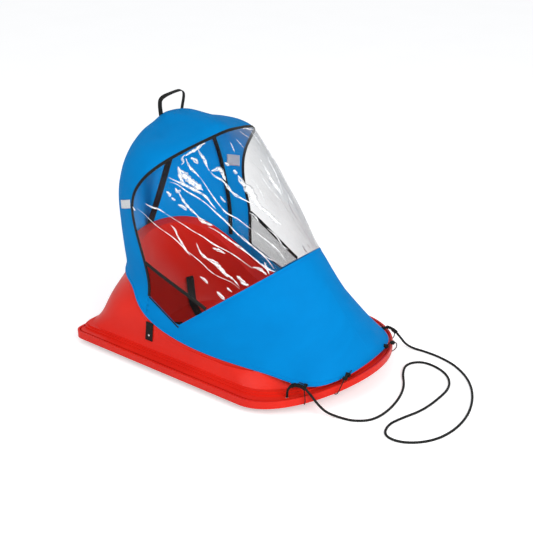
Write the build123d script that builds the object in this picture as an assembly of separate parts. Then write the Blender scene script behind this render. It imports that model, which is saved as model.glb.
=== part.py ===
"""Child's tow sled: a moulded plastic hull with a high wrap-around back, under a fabric canopy.

Frame: +X towards the bow, +Y to the rider's left, +Z up.
The origin is on the floor under the middle of the hull.  Millimetres.
"""
import os
from math import pi, radians, sqrt, tan

from build123d import *

os.makedirs("parts", exist_ok=True)

# ---------------------------------------------------------------- overall sizes
HULL_LENGTH = 890.0
HULL_WIDTH = 626.0

# ---------------------------------------------------------------- hull
WALL = 3.0                   # moulded sheet
LIP_WIDTH = 6.0              # rounded edge outside the groove
GROOVE_WIDTH = 5.0
GROOVE_DEPTH = 6.0
# steps up to the wall: in from the bow, the stern and the sides, half of the flat stern, rise
LEDGES = ((29, 2, 29, 250, 5), (36, 6, 36, 245, 10))
BOW_START = 200.0            # where the straight sides end
BOW_LIFT = 47.0              # how far the flange rises to the nose
BOW_FULLNESS = 0.47          # handle length of the nose curve
RIM_CORNER = 30.0
LIP_BOTTOM = 20.0
FLANGE_TOP = 42.0
BACKREST_TOP = 305.0
SIDE_CREST = 90.0
BOW_CREST = 100.0
PAN_BOTTOM = 4.0
RUNNER_WIDTH = 16.0
RUNNER_LENGTH = 480.0
RUNNER_SPREAD = 90.0
ROPE_HOLE_X = 311.0
ROPE_HOLE_Y = 242.0

# ---------------------------------------------------------------- canopy
FABRIC = 2.0
STRAP_ROOM = 0.6             # canopy cloth to the webbing it lies over
TAPE_WIDTH = 11.0            # black edge binding
TAPE_THICK = 4.0
TAPE_PROUD = 1.0
NOSE_INSET = 21.0            # the hem at the bow, in from the lip
NOSE_Z = 92.0
BRIM_X = -82.0               # the peak over the rider's face
BRIM_Z = 662.0
BRIM_SIDE_INSET = 176.0      # the roof's edge at the brim, in from the sides
BRIM_STERN_INSET = 115.0     # the roof's back at the brim, in from the stern
CANOPY_TOP = 693.0
UPPER_ROOF = 0.61            # level between the brim and the top, as a share of the way up
FRONT_BOW = 10.0            # how far the window and apron bow out at mid height
SEAM_TAPE = 5.0              # narrow tape on the lower edge of each side opening
CLEARANCE = 0.4              # between pieces that lie on one another
APRON_END = (-70.0, 148.0)   # side view: where the apron's top edge meets the skirt
APRON_SLOPE = 0.76
VENT_TOP = (-197.0, 308.0)
VENT_FRONT_X = 10.0
VENT_LOW = (-193.0, 208.0)

# ---------------------------------------------------------------- webbing and cords
WEBBING_WIDTH = 25.0
WEBBING_THICK = 2.0
HANDLE_X = -293.0
HANDLE_SPAN = 86.0
HANDLE_HEIGHT = 43.0         # above the top of the roof
HANDLE_ROOT = 22.0           # how far its feet reach below that
HOOP_WIDTH = 12.0            # sleeve of the rear hoop, inside the hood
HOOP_THICK = 5.0
HOOP_FOOT_Z = 226.0
REFLECTOR_THICK = 1.0
STRAP_FOOT_INSET = 45.0      # back strap, in from the stern
STRAP_HEAD_INSET = 195.0
STRAP_X = -175.0
STRAP_LOW = 72.0
STRAP_HIGH = 129.0
RIVET_Z = 87.0
RIVET_RADIUS = 4.5
SLOT_INSET = 108.0           # where the lap belt comes through the back of the well, in from the stern
SLOT_Y = 105.0
SLOT_Z = 88.0
BELT_TURN = -35.0            # plan direction of each belt half, degrees
BUCKLE = (54.0, 38.0, 12.0)
BUCKLE_REACH = 125.0         # the buckle's middle, ahead of the slots
ROPE_DIAMETER = 7.0
HOLE_RADIUS = 5.0
KNOT_RADIUS = 9.0
KNOT_LENGTH = 14.0
KNOT_DROP = 4.0              # slack between the knot and the flange
TIE_DIAMETER = 3.0
TIE_KNOT = 9.0

HALF_LENGTH = HULL_LENGTH / 2
HALF_WIDTH = HULL_WIDTH / 2
HULL_GAP = WEBBING_THICK + STRAP_ROOM
NOSE_X = HALF_LENGTH - NOSE_INSET
SLOT_X = SLOT_INSET - HALF_LENGTH
SPAN = HULL_LENGTH + 200     # longer and wider than anything it cuts
QUARTER_ARC = 0.448          # corner of a round Bezier arc to its handle, as a share of the radius
HEADROOM = 900.0             # above the canopy


# ================================================================ helpers
def side_face(*edges):
    """A face in the side view, from edges drawn as (x, z)."""
    return Plane.XZ * make_face(edges)


def side_cut(*edges):
    """A side-view shape carried right across the sled."""
    return extrude(side_face(*edges), SPAN / 2, both=True)


def side_polygon(*points):
    return side_cut(*Polyline(*points, close=True).edges())


def loft_levels(level, rows, inset):
    """A smooth solid through a stack of plan-view levels."""
    return loft([level(*row, inset) for row in rows])


def rim_outline(z, inset):
    """The hull's plan shape: square stern with round corners, straight sides, a bowed nose."""
    front = HALF_LENGTH - inset
    back = -HALF_LENGTH + inset
    half = HALF_WIDTH - inset
    corner = RIM_CORNER - inset
    bow = front - BOW_START
    edges = []
    for side in (1, -1):
        turn = (back, side * (half - corner))
        flank = (back + corner, side * half)
        shoulder = (BOW_START, side * half)
        edges.append(Line((back, 0), turn))
        edges.append(RadiusArc(turn, flank, side * corner))
        edges.append(Line(flank, shoulder))
        edges.append(Bezier(shoulder, (BOW_START + BOW_FULLNESS * bow, side * half),
                            (front, side * BOW_FULLNESS * half), (front, 0)))
    return Pos(0, 0, z) * make_face(edges)


def lifted_band(low, high):
    """What lies between two heights above the floor, both rising in an arc at the bow."""
    edges = []
    for height in (low, high):
        edges.append(Line((-SPAN / 2, height), (BOW_START, height)))
        edges.append(TangentArc((BOW_START, height), (HALF_LENGTH, height + BOW_LIFT), tangent=(1, 0)))
    edges.append(Line((-SPAN / 2, low), (-SPAN / 2, high)))
    edges.append(Line((HALF_LENGTH, low + BOW_LIFT), (HALF_LENGTH, high + BOW_LIFT)))
    return side_cut(*edges)


# ================================================================ hull
# z, then in from the bow, the stern and the sides; half of the flat stern; start of the bow.
# The wall flares at its foot and grows rounder above.
WALL_LEVELS = [
    (PAN_BOTTOM, 41, 3, 35, 242, 180),
    (FLANGE_TOP, 41, 5, 38, 235, 180),
    (60, 45, 13, 47, 196, 150),
    (106, 53, 25, 56, 147, 75),
    (160, 65, 32, 66, 84, 55),
    (235, 80, 42, 82, 7, 45),
    (290, 90, 47, 88, 4, 40),
    (345, 100, 54, 96, 3, 35),
]
# z, then in from the bow, the stern and the sides; half of the flat stern
TUB_LEVELS = [
    (PAN_BOTTOM, 127, 123, 137, 66),
    (32, 107, 107, 123, 60),
    (150, 95, 83, 113, 30),
    (340, 105, 67, 115, 8),
]
TUB_BOW_START = 120


def round_level(z, bow_in, stern_in, side_in, flat, bow_x, bow_full, inset):
    """One level of the hull: a square or round stern, straight flanks and a bow curve."""
    front = HALF_LENGTH - bow_in - inset
    back = stern_in + inset - HALF_LENGTH
    half = HALF_WIDTH - side_in - inset
    corner = half - flat
    handle = QUARTER_ARC * corner
    edges = []
    for side in (1, -1):
        turn = (back, side * flat)
        flank = (back + corner, side * half)
        bow = (bow_x, side * half)
        edges.append(Line((back, 0), turn))
        edges.append(Bezier(turn, (back, side * (half - handle)), (back + handle, side * half), flank))
        edges.append(Line(flank, bow))
        edges.append(Bezier(bow, (bow_x + bow_full * (front - bow_x), side * half),
                            (front, side * bow_full * half), (front, 0)))
    return Pos(0, 0, z) * make_face(edges)


def wall_block(inset):
    """Solid inside the outer wall, moved in by an offset."""
    rows = [(*level, 0.50) for level in WALL_LEVELS]
    return loft_levels(round_level, rows, inset)


def tub_block(outset, lift=0.0):
    """The well the rider sits in, moved out by an offset."""
    rows = [(z + lift, *level, TUB_BOW_START, 0.52) for z, *level in TUB_LEVELS]
    return loft_levels(round_level, rows, -outset)


def bow_lift(x):
    """How far the rim has risen at a place along the bow."""
    run = HALF_LENGTH - BOW_START
    radius = (run ** 2 + BOW_LIFT ** 2) / (2 * BOW_LIFT)
    return radius - sqrt(radius ** 2 - max(0, x - BOW_START) ** 2)


def below_crest(drop=0.0):
    """Everything under the top edge of the walls: high at the back, sweeping down to the sides."""
    sweep_down = [(45, BACKREST_TOP), (105, 285), (150, 250), (196, 200), (240, 152), (305, 108), (405, SIDE_CREST)]
    crest = Spline((-SPAN / 2, BACKREST_TOP - drop), *[(x - HALF_LENGTH, z - drop) for x, z in sweep_down],
                   (BOW_START, SIDE_CREST - drop), (HALF_LENGTH, BOW_CREST - drop))
    start = (-SPAN / 2, -50)
    end = (HALF_LENGTH, -50)
    return side_cut(crest, Line(start, end), Line(start, crest @ 0), Line(end, crest @ 1))


def ring(outer, inner, low, high):
    """A closed band around the rim between two insets and two heights, rising at the bow."""
    block = extrude(rim_outline(0, outer), 160) - extrude(rim_outline(-1, inner), 162)
    return block & lifted_band(low, high)


def make_rim():
    """Turned-down lip with a rounded top, then a groove, then the flat flange."""
    groove_out = LIP_WIDTH
    groove_in = LIP_WIDTH + GROOVE_WIDTH
    floor = FLANGE_TOP - GROOVE_DEPTH
    rim = extrude(rim_outline(0, 0), 160) & lifted_band(LIP_BOTTOM, FLANGE_TOP)
    rim -= extrude(rim_outline(-1, WALL), 162) & lifted_band(0, FLANGE_TOP - WALL)
    rim += ring(groove_out - WALL, groove_in + WALL, floor - WALL, FLANGE_TOP)
    return rim - ring(groove_out, groove_in, floor, HEADROOM / 4)


def ledge(bow_in, stern_in, side_in, flat, rise, inset):
    """Plan block of a small step between the flange and the wall."""
    outline = round_level(0, bow_in, stern_in, side_in, flat, BOW_START - 20, 0.50, inset)
    return extrude(outline, 160) & lifted_band(FLANGE_TOP - WALL - inset, FLANGE_TOP + rise - inset)


def make_hull():
    """One moulded sheet: rim, ledges, outer wall, folded crest, well and pan."""
    tub_outside = tub_block(WALL)
    walls = wall_block(0) & below_crest() & lifted_band(FLANGE_TOP - WALL, HEADROOM)
    hollow = (wall_block(WALL) & below_crest(WALL)) - tub_outside
    for step in LEDGES:
        walls += ledge(*step, 0)
        hollow += ledge(*step, WALL) - tub_outside
    hull = make_rim() + walls + (tub_outside & below_crest())
    hull -= hollow
    hull -= tub_block(0, WALL)
    for y in (-RUNNER_SPREAD, 0, RUNNER_SPREAD):
        hull += Pos(0, y, PAN_BOTTOM / 2 + 0.5) * Box(RUNNER_LENGTH, RUNNER_WIDTH, PAN_BOTTOM + 1)
    for side in (1, -1):
        hull -= Pos(ROPE_HOLE_X, side * ROPE_HOLE_Y, 60) * Cylinder(HOLE_RADIUS, 80)
        slot = Rotation(0, 0, side * BELT_TURN) * Box(60, WEBBING_WIDTH + 3, WEBBING_THICK + 2)
        hull -= Pos(SLOT_X, side * SLOT_Y, SLOT_Z) * slot
    return hull


# ================================================================ canopy
def front_line(z):
    """The centre line of the window and apron, from the brim down to the nose, bowed a little."""
    along = (z - NOSE_Z) / (BRIM_Z - NOSE_Z)
    return NOSE_X + (BRIM_X - NOSE_X) * along + 4 * FRONT_BOW * along * (1 - along)


def soft(flank, nose):
    """Flank handles of a plain rounded front, from how far its sides and its nose reach."""
    return (0.6 * flank, 0.6 * flank + 0.3, 0.3 * flank + 0.7,
            0.7 + 0.3 * nose, 0.3 + 0.6 * nose, 0.6 * nose)


# The canopy above the hull's walls: z, in from the stern and the sides, half of the flat back, depth of
# the round back, then how far each flank and the nose reach: 0 pinched, 1 square.
HOOD_LEVELS = [
    (300, 34, 70, 11, 231, 0.47, 0.52),
    (400, 30, 63, 10, 235, 0.48, 0.50),
    (500, 43, 59, 14, 214, 0.47, 0.48),
    (570, 64, 74, 10, 192, 0.44, 0.44),
    (625, 90, 117, 10, 166, 0.46, 0.46),
]
# The front of the skirt and of the apron: z, then the three handles along and the three across each flank
SKIRT_SHAPES = [
    (FLANGE_TOP, 0.39, 0.72, 0.97, 1.00, 1.00, 0.69),
    (60, 0.39, 0.72, 0.97, 1.00, 1.00, 0.69),
    (106, 0.36, 0.69, 0.94, 0.99, 0.86, 0.47),
    (160, 0.31, 0.61, 0.87, 0.95, 0.79, 0.46),
]
APRON_SHAPE = (0.28, 0.57, 0.84, 0.90, 0.67, 0.36)


def tent_level(z, front, back, half, flat, depth, x1, x2, x3, y2, y3, y4, inset):
    """One level of the canopy: a round back, then each flank in one curve to the nose."""
    front -= inset
    back += inset
    half -= inset
    depth -= inset
    widest = back + depth
    reach = front - widest
    edges = []
    for side in (1, -1):
        turn = (back, side * flat)
        flank = side * half
        edges.append(Line((back, 0), turn))
        edges.append(Bezier(turn, (back, side * (half - QUARTER_ARC * (half - flat))),
                            (back + QUARTER_ARC * depth, flank), (widest, flank)))
        edges.append(Bezier((widest, flank), (widest + x1 * reach, flank), (widest + x2 * reach, y2 * flank),
                            (widest + x3 * reach, y3 * flank), (front, y4 * flank), (front, 0)))
    return Pos(0, 0, z) * make_face(edges)


def tent(inset):
    """Solid inside the canopy's skin: the hull's own wall at the foot, a dome at the top."""
    gap = FABRIC + HULL_GAP
    rows = []
    for (z, _, stern_in, side_in, flat, _), (_, *shape) in zip(WALL_LEVELS[1:5], SKIRT_SHAPES):
        half = HALF_WIDTH - side_in + gap
        back = stern_in - gap - HALF_LENGTH
        rows.append((z, front_line(max(z, NOSE_Z)), back, half, flat, half - flat, *shape))
    rows.append((235, front_line(235), 37 - HALF_LENGTH, HALF_WIDTH - 76, 14, 223, *APRON_SHAPE))
    for z, stern_in, side_in, flat, depth, flank, nose in HOOD_LEVELS:
        rows.append((z, front_line(z), stern_in - HALF_LENGTH, HALF_WIDTH - side_in, flat, depth,
                     *soft(flank, nose)))
    brim_back = BRIM_STERN_INSET - HALF_LENGTH
    brim_half = HALF_WIDTH - BRIM_SIDE_INSET
    rows.append((BRIM_Z - inset, BRIM_X, brim_back, brim_half, 10, 140, *soft(0.48, 0.50)))
    upper_z = BRIM_Z + UPPER_ROOF * (CANOPY_TOP - BRIM_Z) - inset
    rows.append((upper_z, brim_back + 190, brim_back + 25, brim_half - 57, 10, 80, *soft(0.50, 0.50)))
    rows.append((CANOPY_TOP - inset, brim_back + 108, brim_back + 58, 30, 6, 26, *soft(0.50, 0.50)))
    return loft_levels(tent_level, rows, inset)


def face_edge(shift=0.0):
    """The front edge of the hood in the side view: up the side, then forward to the brim."""
    return Spline((-190 + shift, -60), (VENT_LOW[0] + shift, VENT_LOW[1]),
                  (VENT_TOP[0] - 2 + shift, VENT_TOP[1]), (-229 + shift, 431), (-226 + shift, 500),
                  (-174 + shift, 576), (-128 + shift, 628), (-60 + shift, 700))


def behind(curve):
    """Everything behind a side-view curve that runs from bottom to top."""
    rear = -SPAN / 2
    low = curve @ 0
    high = curve @ 1
    return side_cut(curve, Line(high, (high.X, HEADROOM)), Line((high.X, HEADROOM), (rear, HEADROOM)),
                    Line((rear, HEADROOM), (rear, low.Y)), Line((rear, low.Y), low))


def apron_height(x):
    """The apron's top edge in the side view."""
    return APRON_END[1] + APRON_SLOPE * (x - APRON_END[0])


def above_hem():
    """Everything over the canopy's bottom edge."""
    hem = Spline((-SPAN / 2, 218), (-300, 216), (-264, 208), (-224, 170), (-185, 141), (-100, 112),
                 (0, 98), (130, 93), (250, 88), (320, 79), (375, 77), (HALF_LENGTH, 98))
    front = (HALF_LENGTH, HEADROOM)
    rear = (-SPAN / 2, HEADROOM)
    return side_cut(hem, Line(hem @ 1, front), Line(front, rear), Line(rear, hem @ 0))


def shell(outer, inner):
    """A skin between two offsets of the canopy, cut at the hem."""
    return (tent(outer) - tent(inner)) & above_hem()


def along_line(start, end, low, high):
    """A side-view band beside the line from start to end, between two distances from it."""
    run = Vector(*end) - Vector(*start)
    up = Vector(-run.Y, run.X).normalized()
    corners = [Vector(*start) + up * low, Vector(*end) + up * low,
               Vector(*end) + up * high, Vector(*start) + up * high]
    return side_polygon(*[(corner.X, corner.Y) for corner in corners])


def make_canopy():
    """The hood, window, apron and every tape on them, all cut from one skin."""
    skin = shell(0, FABRIC)
    tape_skin = shell(-TAPE_PROUD, TAPE_THICK - TAPE_PROUD)
    vent_front = (VENT_FRONT_X, apron_height(VENT_FRONT_X))
    vent = side_polygon(VENT_TOP, vent_front, APRON_END, VENT_LOW)
    under_vent = side_polygon((-SPAN, -10), (SPAN, -10), (SPAN, VENT_LOW[1]), (-SPAN, VENT_LOW[1]))
    face = (behind(face_edge(TAPE_WIDTH)) - behind(face_edge())) - under_vent
    slope = (vent_front[1] - VENT_TOP[1]) / (vent_front[0] - VENT_TOP[0])
    start = (-300, VENT_TOP[1] + slope * (-300 - VENT_TOP[0]))
    top_of_apron = (HALF_LENGTH, apron_height(HALF_LENGTH))
    window_zone = side_polygon(start, vent_front, top_of_apron, (HALF_LENGTH, HEADROOM), (-300, HEADROOM))
    upper_tape = along_line(start, vent_front, 0, TAPE_WIDTH) & window_zone
    lower_tape = along_line(VENT_LOW, APRON_END, -SEAM_TAPE, 0)
    ahead = skin - behind(face_edge()) - face - vent
    tapes = {}
    for side, name in ((1, "left"), (-1, "right")):
        flank = Pos(0, side * SPAN / 2, 0) * Box(4 * SPAN, SPAN - 2, 4 * SPAN)
        beside = flank & (tape_skin - behind(face_edge(TAPE_WIDTH)))
        tapes[f"vent_tape_{name}"] = (beside & upper_tape) + (beside & lower_tape)
    return {
        "hood": skin & behind(face_edge()),
        "window": (ahead & window_zone) - upper_tape,
        "apron": ahead - window_zone - lower_tape,
        "face_binding": tape_skin & face,
        **tapes,
    }


# ================================================================ webbing, rivets and cords
def make_handle():
    """A webbing loop across the top of the hood, its feet sewn to the roof."""
    half = HANDLE_SPAN / 2
    foot = CANOPY_TOP - HANDLE_ROOT
    top = CANOPY_TOP + HANDLE_HEIGHT
    path = Plane.YZ * FilletPolyline((-half, foot), (-half - 4, top - 12), (0, top), (half + 4, top - 12),
                                     (half, foot), radius=14)
    outline = Plane(origin=path @ 0, z_dir=path % 0, x_dir=(1, 0, 0)) * Rectangle(WEBBING_WIDTH, WEBBING_THICK)
    return Pos(HANDLE_X, 0, 0) * sweep(outline, path) - tent(-CLEARANCE)


def make_rear_hoop():
    """The sleeve of the rear hoop: a band inside the hood, from wall to wall over the roof."""
    offset = FABRIC + CLEARANCE
    band = []
    for shift in (0, HOOP_WIDTH):
        band.append(behind(Spline((-268 + shift, 120), (-263 + shift, 250), (-279 + shift, 378),
                                  (-294 + shift, 450), (-308 + shift, 540), (-306 + shift, 620),
                                  (-296 + shift, 720))))
    above_foot = Pos(0, 0, HOOP_FOOT_Z + SPAN) * Box(2 * SPAN, 2 * SPAN, 2 * SPAN)
    return (tent(offset) - tent(offset + HOOP_THICK)) & (band[1] - band[0]) & above_foot


def make_back_strap():
    """Webbing from the top of the backrest up to the roof, on the centre line."""
    foot = Vector(STRAP_FOOT_INSET - HALF_LENGTH, 0, BACKREST_TOP)
    head = Vector(STRAP_HEAD_INSET - HALF_LENGTH, 0, CANOPY_TOP)
    run = head - foot
    strap = Plane(origin=(foot + head) / 2, z_dir=run, x_dir=(0, 1, 0)) * Box(WEBBING_WIDTH, WEBBING_THICK,
                                                                              run.length + 40)
    strap &= tent(FABRIC + CLEARANCE)
    return strap - (wall_block(-CLEARANCE) & below_crest(-CLEARANCE))


def make_reflector(side):
    """A reflective strip on each side panel of the hood."""
    zone = side_polygon((-240, 450), (-290, 447), (-290, 494), (-240, 497))
    skin = tent(-CLEARANCE - REFLECTOR_THICK) - tent(-CLEARANCE)
    return skin & zone & (Pos(0, side * SPAN / 2, 0) * Box(4 * SPAN, SPAN - 2, 4 * SPAN))


def make_anchor_strap(side):
    """Webbing riveted to the hull wall, going up under the skirt."""
    skin = wall_block(-WEBBING_THICK) - wall_block(0)
    height = STRAP_HIGH - STRAP_LOW
    return skin & (Pos(STRAP_X, side * HALF_WIDTH, STRAP_LOW + height / 2) * Box(WEBBING_WIDTH, 200, height))


def make_rivet(side):
    """The rivet head on an anchor strap."""
    skin = wall_block(-WEBBING_THICK - 2) - wall_block(-WEBBING_THICK)
    pin = Pos(STRAP_X, side * HALF_WIDTH, RIVET_Z) * Rotation(90, 0, 0) * Cylinder(RIVET_RADIUS, 200)
    return skin & pin


def make_belt(side):
    """Half of the lap belt: out of its slot, down the back of the well and along the pan."""
    path = Plane.XZ * FilletPolyline((4, SLOT_Z), (9, SLOT_Z - 8), (30, 15), (46, 10), (112, 10), radius=5)
    outline = Plane(origin=path @ 0, z_dir=path % 0, x_dir=(0, 1, 0)) * Rectangle(WEBBING_WIDTH, WEBBING_THICK)
    strip = sweep(outline, path)
    return Pos(SLOT_X, side * SLOT_Y, 0) * Rotation(0, 0, side * BELT_TURN) * strip


def make_buckle():
    """The lap belt's side-release buckle, fastened, lying on the pan."""
    length, width, height = BUCKLE
    body = Box(width, length, height)
    body = fillet(body.edges().filter_by(Axis.Z), 8)
    return Pos(SLOT_X + BUCKLE_REACH, 0, PAN_BOTTOM + WALL + 1 + height / 2) * body


# Pull rope: from the near hole up over the rim, along the floor and back to the far hole.
ROPE_FLOOR = ROPE_DIAMETER / 2 + 0.3
ROPE_ROUTE = [
    (311, -242, 52), (313, -245, 68), (319, -248, 84), (329, -244, 97), (345, -237, 100),
    (360, -229, 91), (374, -219, 68), (389, -206, 38), (406, -192, 14), (436, -178, ROPE_FLOOR),
    (478, -170, ROPE_FLOOR), (516, -136, ROPE_FLOOR), (527, -76, ROPE_FLOOR),
    (519, 2, ROPE_FLOOR), (496, 70, ROPE_FLOOR), (458, 124, ROPE_FLOOR), (438, 178, ROPE_FLOOR),
    (468, 220, ROPE_FLOOR), (526, 216, ROPE_FLOOR), (574, 188, ROPE_FLOOR), (604, 136, ROPE_FLOOR),
    (606, 62, ROPE_FLOOR), (599, -14, ROPE_FLOOR), (575, -76, ROPE_FLOOR), (560, -128, ROPE_FLOOR),
    (578, -180, ROPE_FLOOR), (634, -180, ROPE_FLOOR), (690, -128, ROPE_FLOOR), (714, -52, ROPE_FLOOR),
    (711, 40, ROPE_FLOOR), (679, 134, ROPE_FLOOR), (628, 208, ROPE_FLOOR), (562, 256, ROPE_FLOOR),
    (500, 274, ROPE_FLOOR), (446, 277, ROPE_FLOOR), (408, 273, ROPE_FLOOR), (385, 266, 14),
    (371, 259, 34), (359, 250, 53), (345, 244, 64), (327, 243, 63), (312, 242, 55),
]


def corner_radii(points, share=0.45):
    """As large an arc at each corner as its two runs allow."""
    radii = []
    for before, here, after in zip(points, points[1:], points[2:]):
        come = Vector(*here) - Vector(*before)
        leave = Vector(*after) - Vector(*here)
        turn = come.get_angle(leave)
        radii.append(share * min(come.length, leave.length) / tan(radians(turn) / 2))
    return radii


def cord(points, diameter):
    """A tube of straight runs joined by tangent arcs, and its length."""
    path = FilletPolyline(*points, radius=corner_radii(points))
    section = Plane(origin=path @ 0, z_dir=path % 0) * Circle(diameter / 2)
    return sweep(section, path), path.length


# Elastic ties, left-hand side: from the knot on the hem out over the lip and in underneath.
CORNER_TIE = [(350, 222, 90), (357, 228, 80), (364, 233, 62), (362, 233, 40), (352, 223, 27), (338, 210, 25)]
FRONT_TIE = [(418, 122, 100), (421, 135, 92), (418, 153, 79), (413, 157, 60), (403, 149, 45), (391, 139, 42)]


def make_tie(route, side):
    """One elastic cord with its knot."""
    points = [(x, side * y, z) for x, y, z in route]
    tube, _ = cord(points, TIE_DIAMETER)
    return tube + Pos(*points[0]) * Box(TIE_KNOT, TIE_KNOT, TIE_KNOT)


def make_rope_knot(side):
    """The stopper knot at each end of the pull rope, drawn up against the flange from below."""
    knot = Cylinder(KNOT_RADIUS, KNOT_LENGTH)
    knot = chamfer(knot.edges(), KNOT_RADIUS / 3)
    top = FLANGE_TOP - WALL + bow_lift(ROPE_HOLE_X - KNOT_RADIUS) - KNOT_DROP
    return Pos(ROPE_HOLE_X, side * ROPE_HOLE_Y, top - KNOT_LENGTH / 2) * knot


def build():
    parts = {"hull": make_hull()}
    parts.update(make_canopy())
    parts["rear_hoop"] = make_rear_hoop()
    parts["back_strap"] = make_back_strap()
    parts["carry_handle"] = make_handle()
    parts["lap_belt_buckle"] = make_buckle()
    for side, name in ((1, "left"), (-1, "right")):
        parts[f"reflector_{name}"] = make_reflector(side)
        parts[f"anchor_strap_{name}"] = make_anchor_strap(side)
        parts[f"anchor_rivet_{name}"] = make_rivet(side)
        parts[f"lap_belt_{name}"] = make_belt(side)
        parts[f"corner_tie_{name}"] = make_tie(CORNER_TIE, side)
        parts[f"front_tie_{name}"] = make_tie(FRONT_TIE, side)
        parts[f"rope_knot_{name}"] = make_rope_knot(side)
    rope, length = cord(ROPE_ROUTE, ROPE_DIAMETER)
    parts["pull_rope"] = rope
    for name, route in (("rope", ROPE_ROUTE), ("corner tie", CORNER_TIE), ("front tie", FRONT_TIE)):
        print(name, "radii", [round(radius) for radius in corner_radii(route)])
    print("rope length", round(length), "volume ratio",
          round(rope.volume / (length * pi * ROPE_DIAMETER ** 2 / 4), 4))
    return parts


if __name__ == "__main__":
    for name, shape in build().items():
        box = shape.bounding_box()
        print(name, shape.is_valid, len(shape.solids()), round(shape.volume / 1000), "cm3",
              [round(v) for v in (*box.min, *box.max)])
        export_step(shape, f"parts/{name}.step")
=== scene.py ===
# %% [markdown]
# # A child's tow sled under a fabric canopy
#
# The sled is a moulded plastic hull with a high wrap-around back.  A blue fabric hood, a clear
# window and a blue apron make one tent over it, edged in black tape and tied down with elastic
# cord.  The CAD frame gives every size and place.  This lesson dresses it: each soft piece gets
# its own sheet, each cord its own braid, and each surface a finish made of nodes.

# %% Load the frame
from math import comb, cos, pi, radians, sin

import bmesh
import bpy
import numpy as np
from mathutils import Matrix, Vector, noise
from mathutils.bvhtree import BVHTree


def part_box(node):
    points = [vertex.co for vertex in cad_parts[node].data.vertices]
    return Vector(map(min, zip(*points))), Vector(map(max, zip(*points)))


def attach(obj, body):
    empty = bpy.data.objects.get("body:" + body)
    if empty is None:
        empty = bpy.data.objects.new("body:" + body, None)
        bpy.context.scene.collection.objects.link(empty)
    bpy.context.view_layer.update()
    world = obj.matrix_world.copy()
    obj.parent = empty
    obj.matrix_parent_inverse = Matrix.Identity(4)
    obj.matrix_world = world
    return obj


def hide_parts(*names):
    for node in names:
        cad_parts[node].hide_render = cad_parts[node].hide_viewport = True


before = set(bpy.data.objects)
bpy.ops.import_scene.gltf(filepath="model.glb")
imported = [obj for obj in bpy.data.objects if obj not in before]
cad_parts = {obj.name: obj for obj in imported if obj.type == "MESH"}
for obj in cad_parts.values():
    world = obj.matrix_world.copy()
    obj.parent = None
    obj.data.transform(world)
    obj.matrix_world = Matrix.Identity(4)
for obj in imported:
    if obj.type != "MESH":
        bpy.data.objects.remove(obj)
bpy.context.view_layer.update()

print("pieces in the frame:", sorted(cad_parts))

# %% [markdown]
# ## Camera
#
# A product picture is taken with a long lens from some way off, so that parallel edges stay
# nearly parallel.  The camera is placed by an aim point, two angles and a distance, because
# those are the numbers that a person standing behind it would give.

# %% Place the camera
AIM = Vector((0.058, 0.0, 0.279))
CAMERA_TURN = radians(37.2)
CAMERA_RISE = radians(24.8)
CAMERA_DISTANCE = 2.934
LENS = 68.15


def add_object(name, data):
    """An object that shows a mesh, camera or lamp, put into the scene."""
    made = bpy.data.objects.new(name, data)
    bpy.context.scene.collection.objects.link(made)
    return made


def place_camera():
    """The scene's camera, looking at the aim point from its two angles and distance."""
    data = bpy.data.cameras.new("studio_camera")
    data.lens = LENS
    data.sensor_width = 36.0
    made = add_object("studio_camera", data)
    level = cos(CAMERA_RISE)
    back = Vector((sin(CAMERA_TURN) * level, -cos(CAMERA_TURN) * level, sin(CAMERA_RISE)))
    made.location = AIM + back * CAMERA_DISTANCE
    made.rotation_mode = "QUATERNION"
    made.rotation_quaternion = (-back).to_track_quat("-Z", "Y")
    bpy.context.scene.camera = made
    return made


camera = place_camera()
print("camera stands at", [round(value, 3) for value in camera.location])

# %% [markdown]
# ## Small tools
#
# Every piece below is a mesh written point by point, so a few short helpers come first.  They
# turn points and faces into an object and a finished modifier into plain mesh, run a smooth
# curve through rows of numbers, measure a line, and space points evenly along it.

# %% Helpers for meshes
def make_object(name, points, faces, uvs=None, smooth=True):
    """A mesh object from points and faces, with one pair of UVs per point of each face."""
    mesh = bpy.data.meshes.new(name)
    mesh.from_pydata([tuple(point) for point in points], [], faces)
    if uvs is not None:
        layer = mesh.uv_layers.new(name="UVMap")
        layer.data.foreach_set("uv", np.asarray(uvs, np.float32).ravel())
    mesh.polygons.foreach_set("use_smooth", [smooth] * len(mesh.polygons))
    mesh.update()
    return add_object(name, mesh)


def tube_faces(rings, around, first=0):
    """The side faces of a tube: rings of points, each joined to the next one."""
    faces = []
    for i in range(rings - 1):
        for j in range(around):
            k = (j + 1) % around
            a = first + i * around
            faces.append((a + j, a + k, a + around + k, a + around + j))
    return faces


def turn_outward(made):
    """Makes every face of a closed mesh point outwards."""
    bm = bmesh.new()
    bm.from_mesh(made.data)
    bmesh.ops.recalc_face_normals(bm, faces=bm.faces)
    bm.to_mesh(made.data)
    bm.free()


def give_material(made, *materials):
    """Gives a mesh these materials and no others."""
    made.data.materials.clear()
    for material in materials:
        made.data.materials.append(material)


def settle(made):
    """Turns an object with modifiers into a plain mesh."""
    finished = bpy.data.meshes.new_from_object(made.evaluated_get(bpy.context.evaluated_depsgraph_get()))
    made.modifiers.clear()
    made.data = finished


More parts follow.
